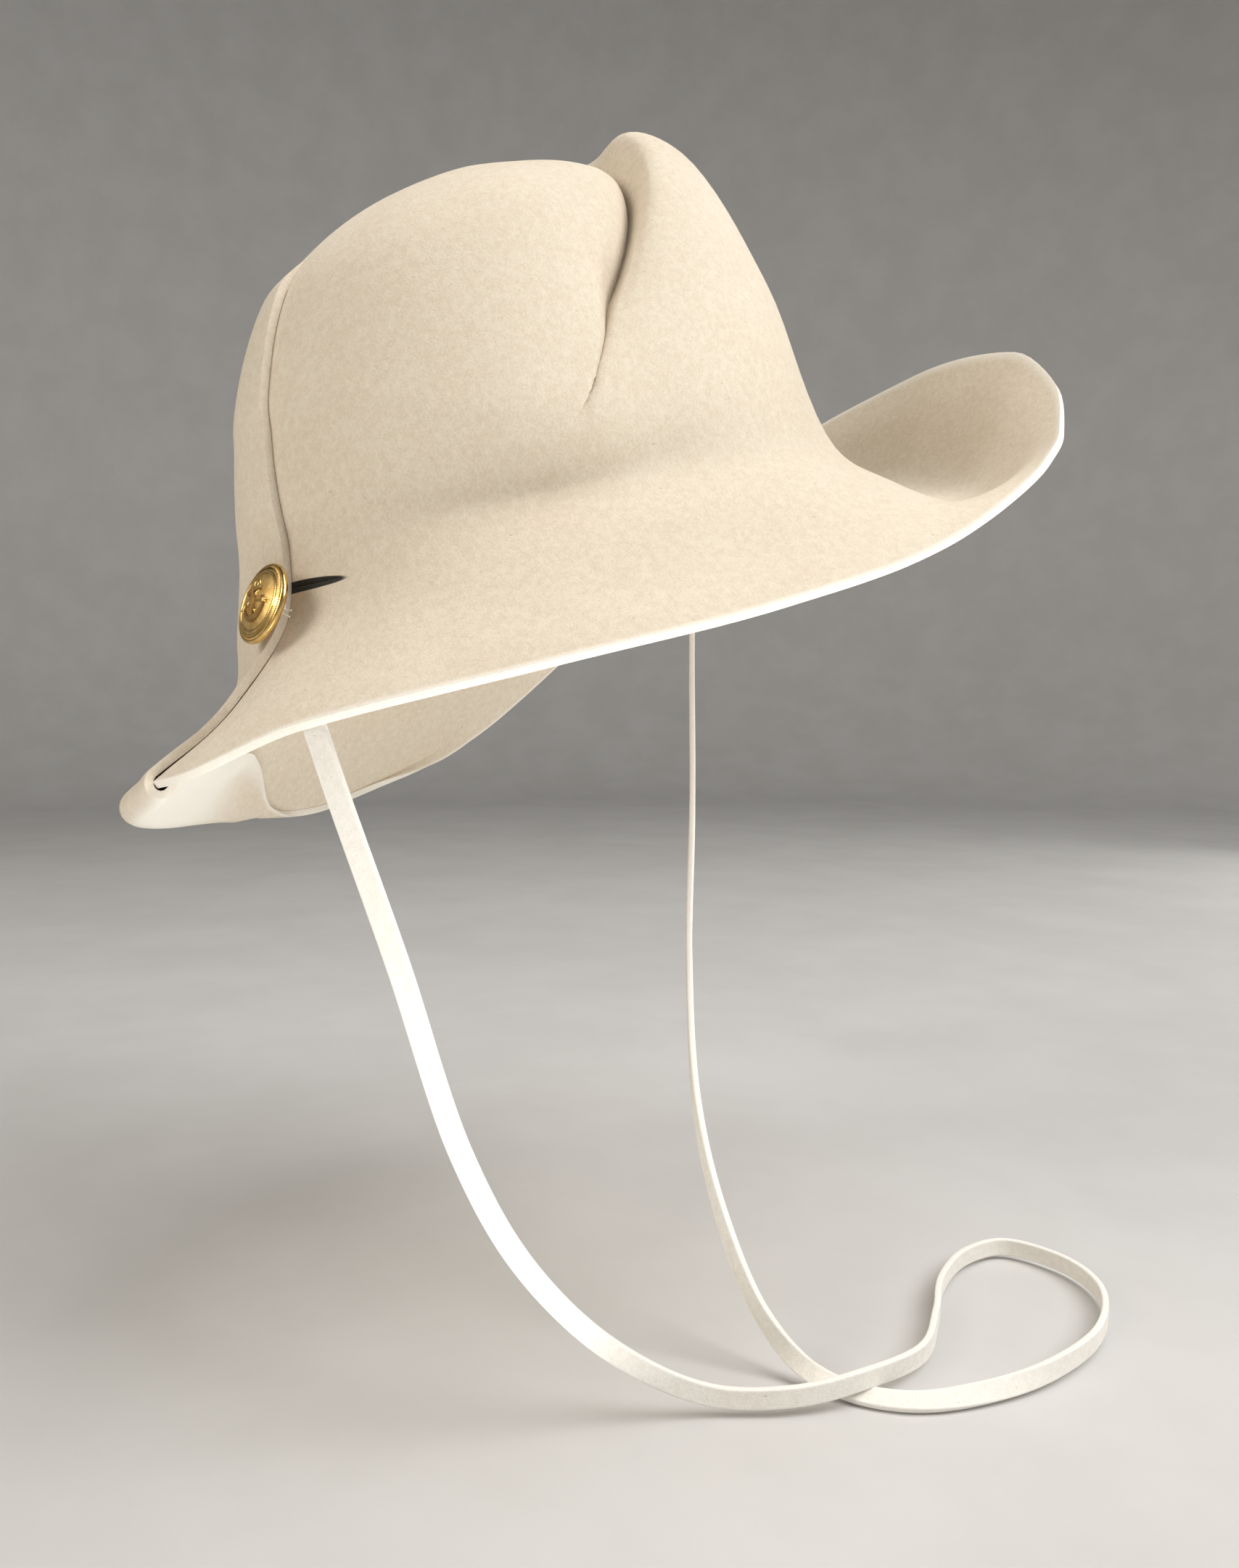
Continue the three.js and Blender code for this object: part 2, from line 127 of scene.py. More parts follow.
def one_curve(points, place):
    """The same for one curve, at many places."""
    return smooth_curve(np.repeat(np.array(points, float)[None], len(place), axis=0), place)


print("curve check", one_curve([(0, 0), (1, 1), (2, 0)], np.array([1.0]))[0][0])

# %% [markdown]
# ## Chin strap
# The strap is a strip cut from the same felt, sewn inside the brim on both sides. It hangs down the
# near side, lies on its edge in a loop on the floor, turns over once and goes up again inside the
# hat. A curve with a bevel would turn it in the wrong places, so it is a grid: its long side follows
# the route, and its width stands upright except where a lean is given.

# %% The strap's route
STRAP_WIDTH = 6.2 * MM
STRAP_THICK = 2.2 * MM
ROUTE_STEPS = 3000

# Centre line in millimetres and the lean in degrees
ROUTE = (
    (69.1, -99.3, -71.3, 0), (73, -94.4, -89.7, 0), (81, -80.9, -135.2, 0), (85, -65.4, -186.7, 0),
    (86, -47.9, -220.2, 0), (87, -20.9, -250.2, 0), (94, 6.1, -266.2, 0), (105, 29.1, -267.2, 0),
    (109, 50.1, -265.7, 0), (102, 79.1, -268.2, 0), (86, 99.1, -268.7, 0), (68, 118.1, -268.7, 0),
    (56, 141.1, -268.7, 0), (57, 159.1, -268.7, 0), (78, 167.1, -268.7, 0), (99, 161.1, -268.7, 0),
    (118, 139.1, -268.7, 0), (127, 109.1, -268.7, 10), (126, 83.1, -269.7, 40), (119, 61.1, -270.4, 65),
    (106, 48.1, -270.4, 65), (92, 41.1, -267.7, 30), (77, 35.1, -255.2, 0), (60, 32.1, -231.2, 0),
    (40, 35.1, -202.2, 0), (13, 48.1, -159.2, 0), (-18, 68.1, -104.2, 0), (-45, 84.1, -46.2, 0),
    (-60.8, 94.3, 8.2, 0),
)
route_points = np.array(ROUTE)[:, :3] * MM
route_leans = [(k, row[3]) for k, row in enumerate(ROUTE)]

fine_places = np.linspace(0, len(ROUTE) - 1, ROUTE_STEPS)
fine_line, _ = one_curve(route_points, fine_places)
steps_made = np.linalg.norm(np.diff(fine_line, axis=0), axis=1)
travelled = np.concatenate([[0], np.cumsum(steps_made)])
STRAP_LENGTH = float(travelled[-1])
print("strap length", round(STRAP_LENGTH, 4))

# %% Helpers for meshes
def finished_object(name, bm):
    """Makes an object at the origin out of a bmesh, and frees the bmesh."""
    mesh = bpy.data.meshes.new(name)
    bm.to_mesh(mesh)
    bm.free()
    made = bpy.data.objects.new(name, mesh)
    bpy.context.scene.collection.objects.link(made)
    return made


def shade_smooth(piece):
    for face in piece.data.polygons:
        face.use_smooth = True


def set_values(piece, name, values):
    """Keeps one number for each vertex, for a material to read."""
    layer = piece.data.attributes.new(name, "FLOAT", "POINT")
    layer.data.foreach_set("value", np.asarray(values, np.float32))


def grid_shares(bm):
    """The two coordinates of each vertex of a new grid, as shares from 0 to 1."""
    return np.array([(v.co.x + 0.5, v.co.y + 0.5) for v in bm.verts])


def place_vertices(bm, points):
    for vertex, point in zip(bm.verts, points):
        vertex.co = point


print("mesh helpers ready")

# %% The strap as a ribbon
STRAP_STEPS = 420
STRAP_ACROSS = 6
STRAP_CUT_FROM = 0.99
PATH_POINTS = 200


def along_strap(shares):
    """Middle and broad direction of the strap at shares of its length."""
    places = np.interp(shares * STRAP_LENGTH, travelled, fine_places)
    middle, direction = one_curve(route_points, places)
    lean = np.radians(one_curve(route_leans, places)[0][:, 1])[:, None]
    level = unit_rows(np.cross((0, 0, 1), direction))
    face = level * np.cos(lean) + np.cross(direction, level) * np.sin(lean)
    return middle, np.cross(direction, face)


strap_bm = bmesh.new()
bmesh.ops.create_grid(strap_bm, x_segments=STRAP_STEPS, y_segments=STRAP_ACROSS, size=0.5)
strap_shares = grid_shares(strap_bm)
strap_middle, strap_broad = along_strap(strap_shares[:, 0])
across = (strap_shares[:, 1:] - 0.5) * STRAP_WIDTH
place_vertices(strap_bm, strap_middle + strap_broad * across)
bmesh.ops.recalc_face_normals(strap_bm, faces=strap_bm.faces)
strap = finished_object("chin_strap_felt", strap_bm)
set_values(strap, "cut_edge_pale_and_lit", np.abs(strap_shares[:, 1] * 2 - 1) > STRAP_CUT_FROM)
shade_smooth(strap)
strap_path, _ = along_strap(np.linspace(0, 1, PATH_POINTS))
print("strap vertices", len(strap.data.vertices))

# %% Thickness of felt
STRAP_ROUNDING = 0.5 * MM
ROUNDED_PAST = math.radians(50)


def thicken(piece, thickness, rounding):
    """Gives a sheet its thickness on both sides and takes the sharpness off its cut edges."""
    wall = piece.modifiers.new("wall", "SOLIDIFY")
    wall.thickness = thickness
    wall.offset = 0
    soft = piece.modifiers.new("soft edge", "BEVEL")
    soft.width = rounding
    soft.segments = 2
    soft.limit_method = "ANGLE"
    soft.angle_limit = ROUNDED_PAST


thicken(strap, STRAP_THICK, STRAP_ROUNDING)
print("strap thickness", STRAP_THICK)

# %% [markdown]
# ## Felt body
# A blocked hat has no seams: a section swept round the head, changing all the way, describes it. Each
# section here runs from the middle of the dome over the crown and down to the brim's edge, as a
# curve through key points of radius and height. The keys come from two short tables, one for half of
# the crown and one for the whole brim, and angles between the rows blend smoothly. The sheet starts as
# a flat grid, because a grid keeps its rows and columns, and each vertex is placed by its angle and row.

# %% Sizes of the felt
# Millimetres, before the hat is tilted; a row counts the keys from the middle of the dome outwards
FELT = 2.5
LAYER_GAP = 0.15
WORN_TILT = math.radians(14)
DOME_HEIGHT = 105.5
ROLL_RADIUS = 3.6
ROLL_FULL_LIP = 32
ROLL_LEAST = FELT / 2 + 0.2
LIP_CROWDING = 1.6
RIM_ROW = 10

# Angle from the front, then radius and height of cap, dome, crease, ridge, shoulder, wall and waist
CROWN = np.array((
    (0, 39, 98, 73, 76, 91, 44, 93.5, 34, 96, 24, 98.5, 13, 101, 0),
    (30, 38, 97.5, 70, 76, 88.5, 40, 91.5, 31, 93.8, 22, 95.3, 11, 96, -0.5),
    (60, 36, 98, 66, 78, 89, 25, 90, 18.5, 90, 12, 89, 5.5, 87.5, -1.5),
    (75, 35, 98, 62, 81, 83.5, 29, 86, 23.5, 87.3, 17, 87, 8.5, 85.8, -1),
    (90, 33, 98.5, 56, 83, 70.5, 50, 76, 43, 81, 32, 84.3, 16, 84.3, 0),
    (120, 26, 102, 43, 94, 55, 81, 62, 86.5, 71, 76, 83, 42, 90.5, -1),
    (150, 20, 104, 34, 101, 42, 98, 50.5, 108, 65, 99.5, 84, 54, 96.5, -3),
    (180, 18, 105, 30, 103.5, 39, 101, 47.5, 110, 61, 104, 85, 56, 97.5, -3),
))

# Angle round the hat, then radius and height of inner, middle and rim, the lip's length and its curl
BRIM = np.array((
    (-30, 105, -21, 112, -45, 143, -60, 4, 0),
    (-6, 106.3, -20.3, 114.8, -43.2, 145.5, -58.2, 3, 0),
    (5, 106.5, -20.2, 120.2, -41, 147.8, -55.5, 1.8, 0),
    (16, 106, -20, 125.8, -38.5, 145.8, -51.9, 3.5, 0),
    (30, 103, -18, 119, -33, 132, -43, 6, 0),
    (60, 98, -16, 111, -31, 122, -40, 6, 0),
    (90, 95, -14, 109, -30, 120, -39, 6, 0),
    (120, 103, -13, 118, -26, 130, -34, 6, 0),
    (150, 114, -19, 141, -31, 165, -17, 9, 0),
    (158, 115.2, -18.5, 144, -27, 174, -3.8, 12, 0),
    (165, 116, -18, 146, -23, 173.5, 8.5, 14, 0),
    (180, 116, -17, 143, -15, 164, 12.5, 12.5, 0),
    (210, 112, -12, 135, -13, 153, -2, 7, 0),
    (240, 103, -15, 122, -36, 138, -46, 6, 0),
    (270, 95, -22, 112, -54, 129, -80, 6, 0),
    (300, 100, -24, 120, -60, 139, -92, 3, 150),
    (315, 104, -23, 123, -56, 143, -86, 8, 178),
    (322, 105.5, -22.5, 122, -52, 146.5, -79, 32, 187),
    (330, 105.5, -22, 119, -49.5, 149.5, -74, 40, 186),
    (345, 106, -20, 114, -45, 154.5, -67, 39, 185),
    (352, 106.5, -20, 114.5, -43.5, 154, -63.5, 38, 185.5),
    (360, 106.5, -20, 117, -42, 149, -58.5, 37, 186.5),
    (367, 106.5, -20, 121, -40.8, 148, -54.5, 36, 188),
    (376, 106, -20, 125.8, -38.5, 146, -52.5, 35, 190),
))
print("sections", len(CROWN), "and", len(BRIM))

# %% The crease and the lap
CREASE = {"from": 68, "full": 96, "depth": 13, "cap_reach": 0.6, "ridge_reach": 0.35}
CREASE_FALL = {"cap": 2.2, "ridge": 1.4}
# Angle from the front and the row that the crease follows there
CREASE_LINE = np.array(((68, 5.2), (74, 4.5), (80, 3.5), (90, 3)))
CREASE_CORE = np.array((0, 10, 25))

# Row, angle of the far layer's edge and angle of the near layer's tucked edge
LAP = np.array((
    (1.67, 8, 8), (1.95, 9, 7.6), (2.3, 10, 3), (3, 11.5, -2), (5, 13.4, -4), (7, 15.2, -4),
    (8.5, 14.8, -3), (9.3, 12.2, -2), (10, 7, -2), (11, 5.5, -1),
))
SLIT_TOP = 1.67
LIFT_SPAN = 0.45
LIFT_START = 24
LIFT_END = 5


def ease(value, low, high):
    """0 below low, 1 above high and smooth between them."""
    share = np.clip((value - low) / (high - low), 0, 1)
    return share * share * (3 - 2 * share)


print("lap rows", len(LAP))

# %% Values between the rows of a table
def from_front(angle):
    """Degrees from the front, the same on both sides of the hat."""
    return np.abs((angle + 180) % 360 - 180)


def blend(table, at):
    """Smooth values of a table's columns between its rows, level at the first and the last."""
    angles, values = table[:, 0], table[:, 1:]
    slopes = np.zeros_like(values)
    slopes[1:-1] = (values[2:] - values[:-2]) / (angles[2:] - angles[:-2])[:, None]
    i = np.clip(np.searchsorted(angles, at, side="right") - 1, 0, len(angles) - 2)
    span = (angles[i + 1] - angles[i])[:, None]
    t = np.clip((at - angles[i])[:, None] / span, 0, 1)
    rise = t * t * (3 - 2 * t)
    bend = span * (slopes[i] * t * (1 - t) ** 2 - slopes[i + 1] * t * t * (1 - t))
    return values[i] + (values[i + 1] - values[i]) * rise + bend


print("crease row at the side", blend(CREASE_LINE, np.array([90.0]))[0])

# %% The lap, the lip and the crease
def lap_angles(row):
    """Where the near layer's tucked edge and the far layer's edge lie at a row."""
    edge, tuck = blend(LAP, row).T
    return tuck, edge


def lap_lift(angle, row):
    """How far the far layer stands off, so that it lies on the near layer."""
    tucked = 360 + lap_angles(row)[0]
    round_share = ease(angle, tucked - LIFT_START, tucked - LIFT_END)
    return (FELT + LAYER_GAP) * round_share * ease(row, SLIT_TOP, SLIT_TOP + LIFT_SPAN)


def lip_point(start, direction, lip, curl, share):
    """The end of the brim past the rim: an arc that rolls under, then straight felt."""
    inward = np.stack([direction[:, 1], -direction[:, 0]], axis=1)
    radius = np.maximum(ROLL_RADIUS * np.minimum(lip / ROLL_FULL_LIP, 1), ROLL_LEAST)
    arc = np.minimum(lip, radius * curl)
    reach = lip * share ** LIP_CROWDING
    turned = np.minimum(reach, arc) / radius
    rest = np.maximum(reach - arc, 0)
    forward = radius * np.sin(turned) + rest * np.cos(turned)
    under = radius * (1 - np.cos(turned)) + rest * np.sin(turned)
    return start + direction * forward[:, None] + inward * under[:, None]


def crease_pull(angle, row):
    """How far the crease draws the felt inwards."""
    away = row - blend(CREASE_LINE, from_front(angle))[:, 0]
    above = np.maximum(1 + away / CREASE["cap_reach"], 0) ** CREASE_FALL["cap"]
    below = np.maximum(1 - away / CREASE["ridge_reach"], 0) ** CREASE_FALL["ridge"]
    strength = CREASE["depth"] * ease(from_front(angle), CREASE["from"], CREASE["full"])
    return strength * np.where(away < 0, above, below)


print("deepest crease", crease_pull(np.array([180.0]), np.array([3.0]))[0], "mm")

# %% A point of the felt
def felt_point(angle, row):
    """The middle of the felt in millimetres, before the hat is tilted, for arrays of angles and rows."""
    crown = blend(CROWN, from_front(angle)).reshape(len(angle), -1, 2)
    brim = blend(BRIM, angle)
    lip, curl = brim[:, -2:].T
    brim_keys = brim[:, :-2].reshape(len(angle), -1, 2)
    pole = np.tile((0.0, DOME_HEIGHT), (len(angle), 1, 1))
    mirrored_cap = crown[:, :1] * (-1, 1)
    keys = np.concatenate([mirrored_cap, pole, crown, brim_keys], axis=1)
    flat, direction = smooth_curve(keys, np.minimum(row, RIM_ROW) + 1)
    outward = np.stack([-direction[:, 1], direction[:, 0]], axis=1)
    flat = flat + outward * lap_lift(angle, row)[:, None]
    turned_under = np.radians(np.maximum(curl, 0))
    flat = lip_point(flat, direction, lip, turned_under, np.maximum(row - RIM_ROW, 0))
    turn = np.radians(angle)
    point = np.stack([flat[:, 0] * np.sin(turn), -flat[:, 0] * np.cos(turn), flat[:, 1]], axis=1)
    return point + unit_rows(CREASE_CORE - point) * crease_pull(angle, row)[:, None]


def worn(points):
    """Tilts points of the hat as it is worn, and turns millimetres into metres."""
    x, y, z = np.asarray(points, float).T
    cos, sin = math.cos(WORN_TILT), math.sin(WORN_TILT)
    return np.stack([x, y * cos - z * sin, y * sin + z * cos], axis=1) * MM


print("back of the rim", worn(felt_point(np.array([180.0]), np.array([RIM_ROW])))[0].round(4))

# %% The felt sheet
# Steps of the grid between each key of a section and the next
ROW_STEPS = (8, 12, 20, 20, 8, 8, 8, 9, 10, 10, 22)
COLUMN_STEPS = 300

row_marks = [0.0]
for span, steps in enumerate(ROW_STEPS):
    row_marks += [span + (k + 1) / steps for k in range(steps)]
row_marks = np.array(row_marks)


def felt_grid_places(bm):
    """Share of a turn, row and angle of each vertex of the flat grid."""
    shares = grid_shares(bm)
    rows = row_marks[np.rint(shares[:, 1] * (len(row_marks) - 1)).astype(int)]
    tuck, edge = lap_angles(rows)
    return shares[:, 0], rows, tuck + shares[:, 0] * (360 + edge - tuck)


felt_bm = bmesh.new()
bmesh.ops.create_grid(felt_bm, x_segments=COLUMN_STEPS, y_segments=len(row_marks) - 1, size=0.5)
print("felt grid", len(felt_bm.verts))

# %% [markdown]
# ## Buttonhole
# Beside the button a slit is cut through the near layer. A boolean would leave long thin faces, so the
# sheet is split along one of its own rows while it is still flat. Later the two lips are drawn apart by
# a hair, most in the middle, and the felt's finish paints a near-black oval round them, which keeps the
# slit dark under any light.

# %% Split the sheet for the buttonhole
HOLE_ANGLE = 20.0
HOLE_ROW_WANTED = 7.55
HOLE_ROW = row_marks[np.argmin(np.abs(row_marks - HOLE_ROW_WANTED))]
HOLE_LENGTH = 29
HOLE_HALF_WIDTH = 0.15
HOLE_LEAN = math.radians(-4)
HOLE_CALM = 8
FAR_AWAY = 1000

hole_place = felt_point(np.array([HOLE_ANGLE]), np.array([HOLE_ROW]))[0]
hole_radius = math.hypot(hole_place[0], hole_place[1])


def is_near(turn):
    """True on the half of the sheet that carries the near layer of the lap."""
    return turn < 0.5


def round_from_hole(turn, angle):
    """Distance round the near layer from the middle of the hole, in millimetres."""
    return np.where(is_near(turn), np.radians(angle - HOLE_ANGLE) * hole_radius, FAR_AWAY)


def is_hole(row, round_place):
    """True on the row of the hole, between its ends."""
    return (row == HOLE_ROW) & (np.abs(round_place) < HOLE_LENGTH / 2)


turn, rows, angles = felt_grid_places(felt_bm)
on_hole = is_hole(rows, round_from_hole(turn, angles))
hole_vertices = {v for v, chosen in zip(felt_bm.verts, on_hole) if chosen}
hole_edges = [e for e in felt_bm.edges if all(v in hole_vertices for v in e.verts)]
bmesh.ops.split_edges(felt_bm, edges=hole_edges)
print("buttonhole edges", len(hole_edges))

# %% Which lip of the buttonhole a vertex belongs to
turn, rows, angles = felt_grid_places(felt_bm)
round_place = round_from_hole(turn, angles)
side = np.sign(HOLE_ROW - rows)
on_hole = is_hole(rows, round_place)
felt_bm.verts.ensure_lookup_table()
for index in np.flatnonzero(on_hole):
    vertex = felt_bm.verts[index]
    middles = [face.calc_center_median().y - vertex.co.y for face in vertex.link_faces]
    side[index] = -np.sign(round(sum(middles), 6))
print("lips", int((side[on_hole] > 0).sum()), "above and", int((side[on_hole] < 0).sum()), "below")

# %% [markdown]
# ## Unevenness of hand-blocked felt
# A shape made by functions alone looks turned on a lathe. Real felt is steamed over a block by hand, so
# its surface rolls by a few tenths of a millimetre, and its edge is cut with shears. A noise that
# depends only on the place gives both, and it is the same each time the script runs.

# %% Uneven felt
ROLLING_SIZE = 34
ROLLING_DEPTH = 0.45
EDGE_WAVE_SIZE = 17
EDGE_WAVE_DEPTH = 0.3
EDGE_WAVE_ROWS = (RIM_ROW - 0.5, RIM_ROW + 1)
SWELL_ROWS = (0.4, 1.2)


def rolling(points, size):
    """A smooth noise at each point, from about -1 to 1."""
    return np.array([noise.noise(Vector(p) / size) for p in points])


felt_points = felt_point(angles, rows)
swell = rolling(felt_points, ROLLING_SIZE) * ROLLING_DEPTH
swell += rolling(felt_points, EDGE_WAVE_SIZE) * EDGE_WAVE_DEPTH * ease(rows, *EDGE_WAVE_ROWS)
spread = unit_rows(felt_points * (1, 1, 0))
felt_points = felt_points + spread * (swell * ease(rows, *SWELL_ROWS))[:, None]
print("deepest swell", round(float(np.abs(swell).max()), 3), "mm")

# %% Open the lips and place the sheet
RISE_STEP = 0.05

rise = felt_point(angles, np.maximum(rows - RISE_STEP, 0)) - felt_point(angles, rows + RISE_STEP)
rise = unit_rows(rise)
leaf = np.maximum(1 - (round_place / (HOLE_LENGTH / 2)) ** 2, 0) * HOLE_HALF_WIDTH
drop = np.linalg.norm(felt_points - felt_point(angles, np.full(len(rows), HOLE_ROW)), axis=1)
close = np.clip(1 - drop / HOLE_CALM, 0, 1) * is_near(turn)
fading = ease(np.abs(round_place), HOLE_LENGTH, HOLE_LENGTH / 2)
slant = np.clip(round_place, -HOLE_LENGTH, HOLE_LENGTH) * math.tan(HOLE_LEAN) * fading
felt_points = felt_points + rise * ((slant + side * leaf) * close)[:, None]
place_vertices(felt_bm, worn(felt_points))
print("hole width", round(2 * float(leaf[on_hole].max()), 2), "mm")

# %% Mark the cut edges, and the painted light on the hem
# The cut edges' paleness is partly their fibres and partly painted light: full at the brim's rim, where
# strong light falls, and faint along the lap.
LAP_EDGE_CUT = 0.12
RIM_ROWS = (RIM_ROW + 0.78, RIM_ROW + 1)
HEM_LIGHT_ROWS = (RIM_ROW + 0.25, RIM_ROW + 0.5)
HEM_LIGHT_ANGLES = (321, 336)

at_lap = ((turn == 0) | (turn == 1)) & (rows > SLIT_TOP)
marks = {
    "cut_edge_pale_and_lit": np.where(at_lap, LAP_EDGE_CUT, ease(rows, *RIM_ROWS)),
    "near_side": is_near(turn),
    # The hem's value is painted light: it whitens the felt under the front tip, where strong light falls.
    "hem_painted_light": ease(angles, *HEM_LIGHT_ANGLES) * ease(rows, *HEM_LIGHT_ROWS),
}
for name, values in marks.items():
    layer = felt_bm.verts.layers.float.new(name)
    for vertex, value in zip(felt_bm.verts, values):
        vertex[layer] = float(value)
print("felt marks", list(marks))

# %% Close the crown
MERGE_REACH = 1e-6
FELT_ROUNDING = 0.45 * MM

whole_crown = [v for v, row in zip(felt_bm.verts, rows) if row <= SLIT_TOP]
bmesh.ops.remove_doubles(felt_bm, verts=whole_crown, dist=MERGE_REACH)
bmesh.ops.recalc_face_normals(felt_bm, faces=felt_bm.faces)
felt = finished_object("felt_hat_body", felt_bm)
shade_smooth(felt)
thicken(felt, FELT * MM, FELT_ROUNDING)
print("felt vertices", len(felt.data.vertices))

# %% [markdown]
# ## Button
# The button is a stamped metal shell: a polished rolled rim, a band of fine milling, a thin raised ring
# and a satin, domed field with an anchor on it. Everything but the anchor is round, so its outline is spun
# about the middle. The milling is a ring of many short ridges: the spin has two steps for each ridge,
# and every other step of that band is pressed down.

# %% Where the button sits
BUTTON_ANGLE = 375.6
BUTTON_ROW = 7.9
BUTTON_STAND_OFF = FELT / 2 + 1.15
BUTTON_TIP = math.radians(-2)
ANGLE_STEP = 0.4
ROW_STEP = 0.02


def unit(vector):
    return vector / np.linalg.norm(vector)


def felt_frame(angle, row, stand_off):
    """A frame on the felt's outer face: X round the hat, Y up the felt and Z outwards."""
    near = felt_point(np.array([angle, angle, angle - ANGLE_STEP, angle + ANGLE_STEP]),
                      np.array([row - ROW_STEP, row + ROW_STEP, row, row]))
    outward = unit(np.cross(near[1] - near[0], near[3] - near[2]))
    up = unit(np.cross(outward, near[3] - near[2]))
    sideways = np.cross(up, outward)
    place = felt_point(np.array([angle]), np.array([row]))[0] + outward * stand_off
    axes = np.stack([sideways, up, outward, place], axis=1)
    return Matrix([list(line) for line in axes] + [[0, 0, 0, 1]])


worn_turn = Matrix.Scale(MM, 4) @ Matrix.Rotation(WORN_TILT, 4, "X")
button_place = worn_turn @ felt_frame(BUTTON_ANGLE, BUTTON_ROW, BUTTON_STAND_OFF)
button_place = button_place @ Matrix.Rotation(BUTTON_TIP, 4, "X")
print("button at", [round(v, 4) for v in button_place.translation])

# %% Outline of the button
STAND = 3.8
FIELD_RADIUS = 8.45
FIELD_EDGE = 6.6
FIELD_DOME = 1.4
FIELD_STEPS = 26


def field_height(x, y):
    """Height of the domed field at a place on it."""
    return FIELD_EDGE + FIELD_DOME * max(1 - (x * x + y * y) / FIELD_RADIUS ** 2, 0)


# Radius and height of the outline above the stem's foot, from the stem to the edge of the field
BUTTON_OUTLINE = [
    (0, 0), (2.0, 0), (2.2, 0.25), (2.2, 3.6), (2.6, 3.8), (10.6, 3.8), (11.2, 3.95), (11.65, 4.25),
    (11.92, 4.65), (12, 5.05), (11.9, 5.5), (11.62, 5.85), (11.3, 6.05), (11.05, 6.02), (10.95, 5.95),
    (10.4, 6.25), (9.75, 6.55), (9.6, 6.5), (9.5, 6.55), (9.3, 6.78), (9.05, 6.85), (8.8, 6.78), (8.6, 6.58),
]
field_radii = [FIELD_RADIUS * (1 - k / FIELD_STEPS) for k in range(FIELD_STEPS + 1)]
BUTTON_OUTLINE += [(radius, field_height(radius, 0)) for radius in field_radii]
print("outline points", len(BUTTON_OUTLINE))

# %% Spin the button
RIDGES = 104
RIDGE_STEP = math.pi / RIDGES
MILLED_FROM = 9.7
MILLED_TO = 10.97
MILLED_ABOVE = STAND + 1.2
MILLED_DEPTH = 0.4
MERGE_REACH_MM = 1e-4


def spun(line, steps, merge_reach):
    """A line of radii and heights spun about Z, closed where its ends meet."""
    bm = bmesh.new()
    verts = [bm.verts.new((radius, 0, height)) for radius, height in line]
    edges = [bm.edges.new(pair) for pair in zip(verts, verts[1:])]
    bmesh.ops.spin(bm, geom=verts + edges, cent=(0, 0, 0), axis=(0, 0, 1),
                   angle=2 * math.pi, steps=steps, use_merge=True)
    bmesh.ops.remove_doubles(bm, verts=bm.verts, dist=merge_reach)
    bmesh.ops.recalc_face_normals(bm, faces=bm.faces)
    return bm


def milled(vertex):
    """True for every other step of the milled band."""
    radius = math.hypot(vertex.co.x, vertex.co.y)
    odd = round(math.atan2(vertex.co.y, vertex.co.x) / RIDGE_STEP) % 2
    return bool(odd) and vertex.co.z > MILLED_ABOVE and MILLED_FROM < radius < MILLED_TO


button_bm = spun(BUTTON_OUTLINE, 2 * RIDGES, MERGE_REACH_MM)
for vertex in filter(milled, list(button_bm.verts)):
    vertex.co.z -= MILLED_DEPTH
print("button vertices", len(button_bm.verts))

# %% [markdown]
# ## Anchor
# A plain anchor with a rope looped round it is raised on the field. Each bar starts as a cube that is
# stretched, and rounded with a bevel. The arms, the ring and the rope are rods: small circles set along
# a curve and bridged. They sink into the field, so no gap shows under them.

# %% Helpers for raised work
BAR_ROUNDING = 0.3
ROD_SIDES = 8


def edges_at(verts):
    """The edges at some vertices, each once and always in the same order."""
    return list(dict.fromkeys(edge for vertex in verts for edge in vertex.link_edges))


def raised_bar(bm, middle, size, degrees):
    """A bar with rounded edges, lying on the field."""
    made = bmesh.ops.create_cube(bm, size=1)["verts"]
    bmesh.ops.scale(bm, vec=size, verts=made)
    rounded = bmesh.ops.bevel(bm, geom=edges_at(made), offset=min(size) * BAR_ROUNDING,
                              offset_type="OFFSET", affect="EDGES", segments=3, profile=0.5, material=-1)
    made = list({v for f in rounded["faces"] for v in f.verts} | {v for v in made if v.is_valid})
    turned = Matrix.Rotation(math.radians(degrees), 3, "Z")
    bmesh.ops.rotate(bm, cent=(0, 0, 0), matrix=turned, verts=made)
    bmesh.ops.translate(bm, vec=(*middle, field_height(*middle)), verts=made)


def raised_rod(bm, points, thickness):
    """A round rod through points of the field, closed at both ends, with a thickness for each point."""
    count = len(points)
    rings = []
    for k, (x, y) in enumerate(points):
        before = points[max(k - 1, 0)]
        after = points[min(k + 1, count - 1)]
        heading = math.atan2(after[1] - before[1], after[0] - before[0])
        ring = bmesh.ops.create_circle(bm, segments=ROD_SIDES, radius=thickness[k] / 2)["verts"]
        stand_up = Matrix.Rotation(heading, 3, "Z") @ Matrix.Rotation(math.pi / 2, 3, "Y")
        bmesh.ops.rotate(bm, cent=(0, 0, 0), matrix=stand_up, verts=ring)
        bmesh.ops.translate(bm, vec=(x, y, field_height(x, y)), verts=ring)
        rings.append(edges_at(ring))
    for ring, following in zip(rings, rings[1:]):
        bmesh.ops.bridge_loops(bm, edges=ring + following)
    for end in (rings[0], rings[-1]):
        bmesh.ops.edgeloop_fill(bm, edges=end)


print("field height in the middle", field_height(0, 0))

# %% Anchor
ANCHOR_RELIEF = 1.8
ARM_STEPS = 29
ARM_ENDS = 1.1
ARM_MIDDLE = 2.0
RING_STEPS = 25
RING_THICK = 0.9

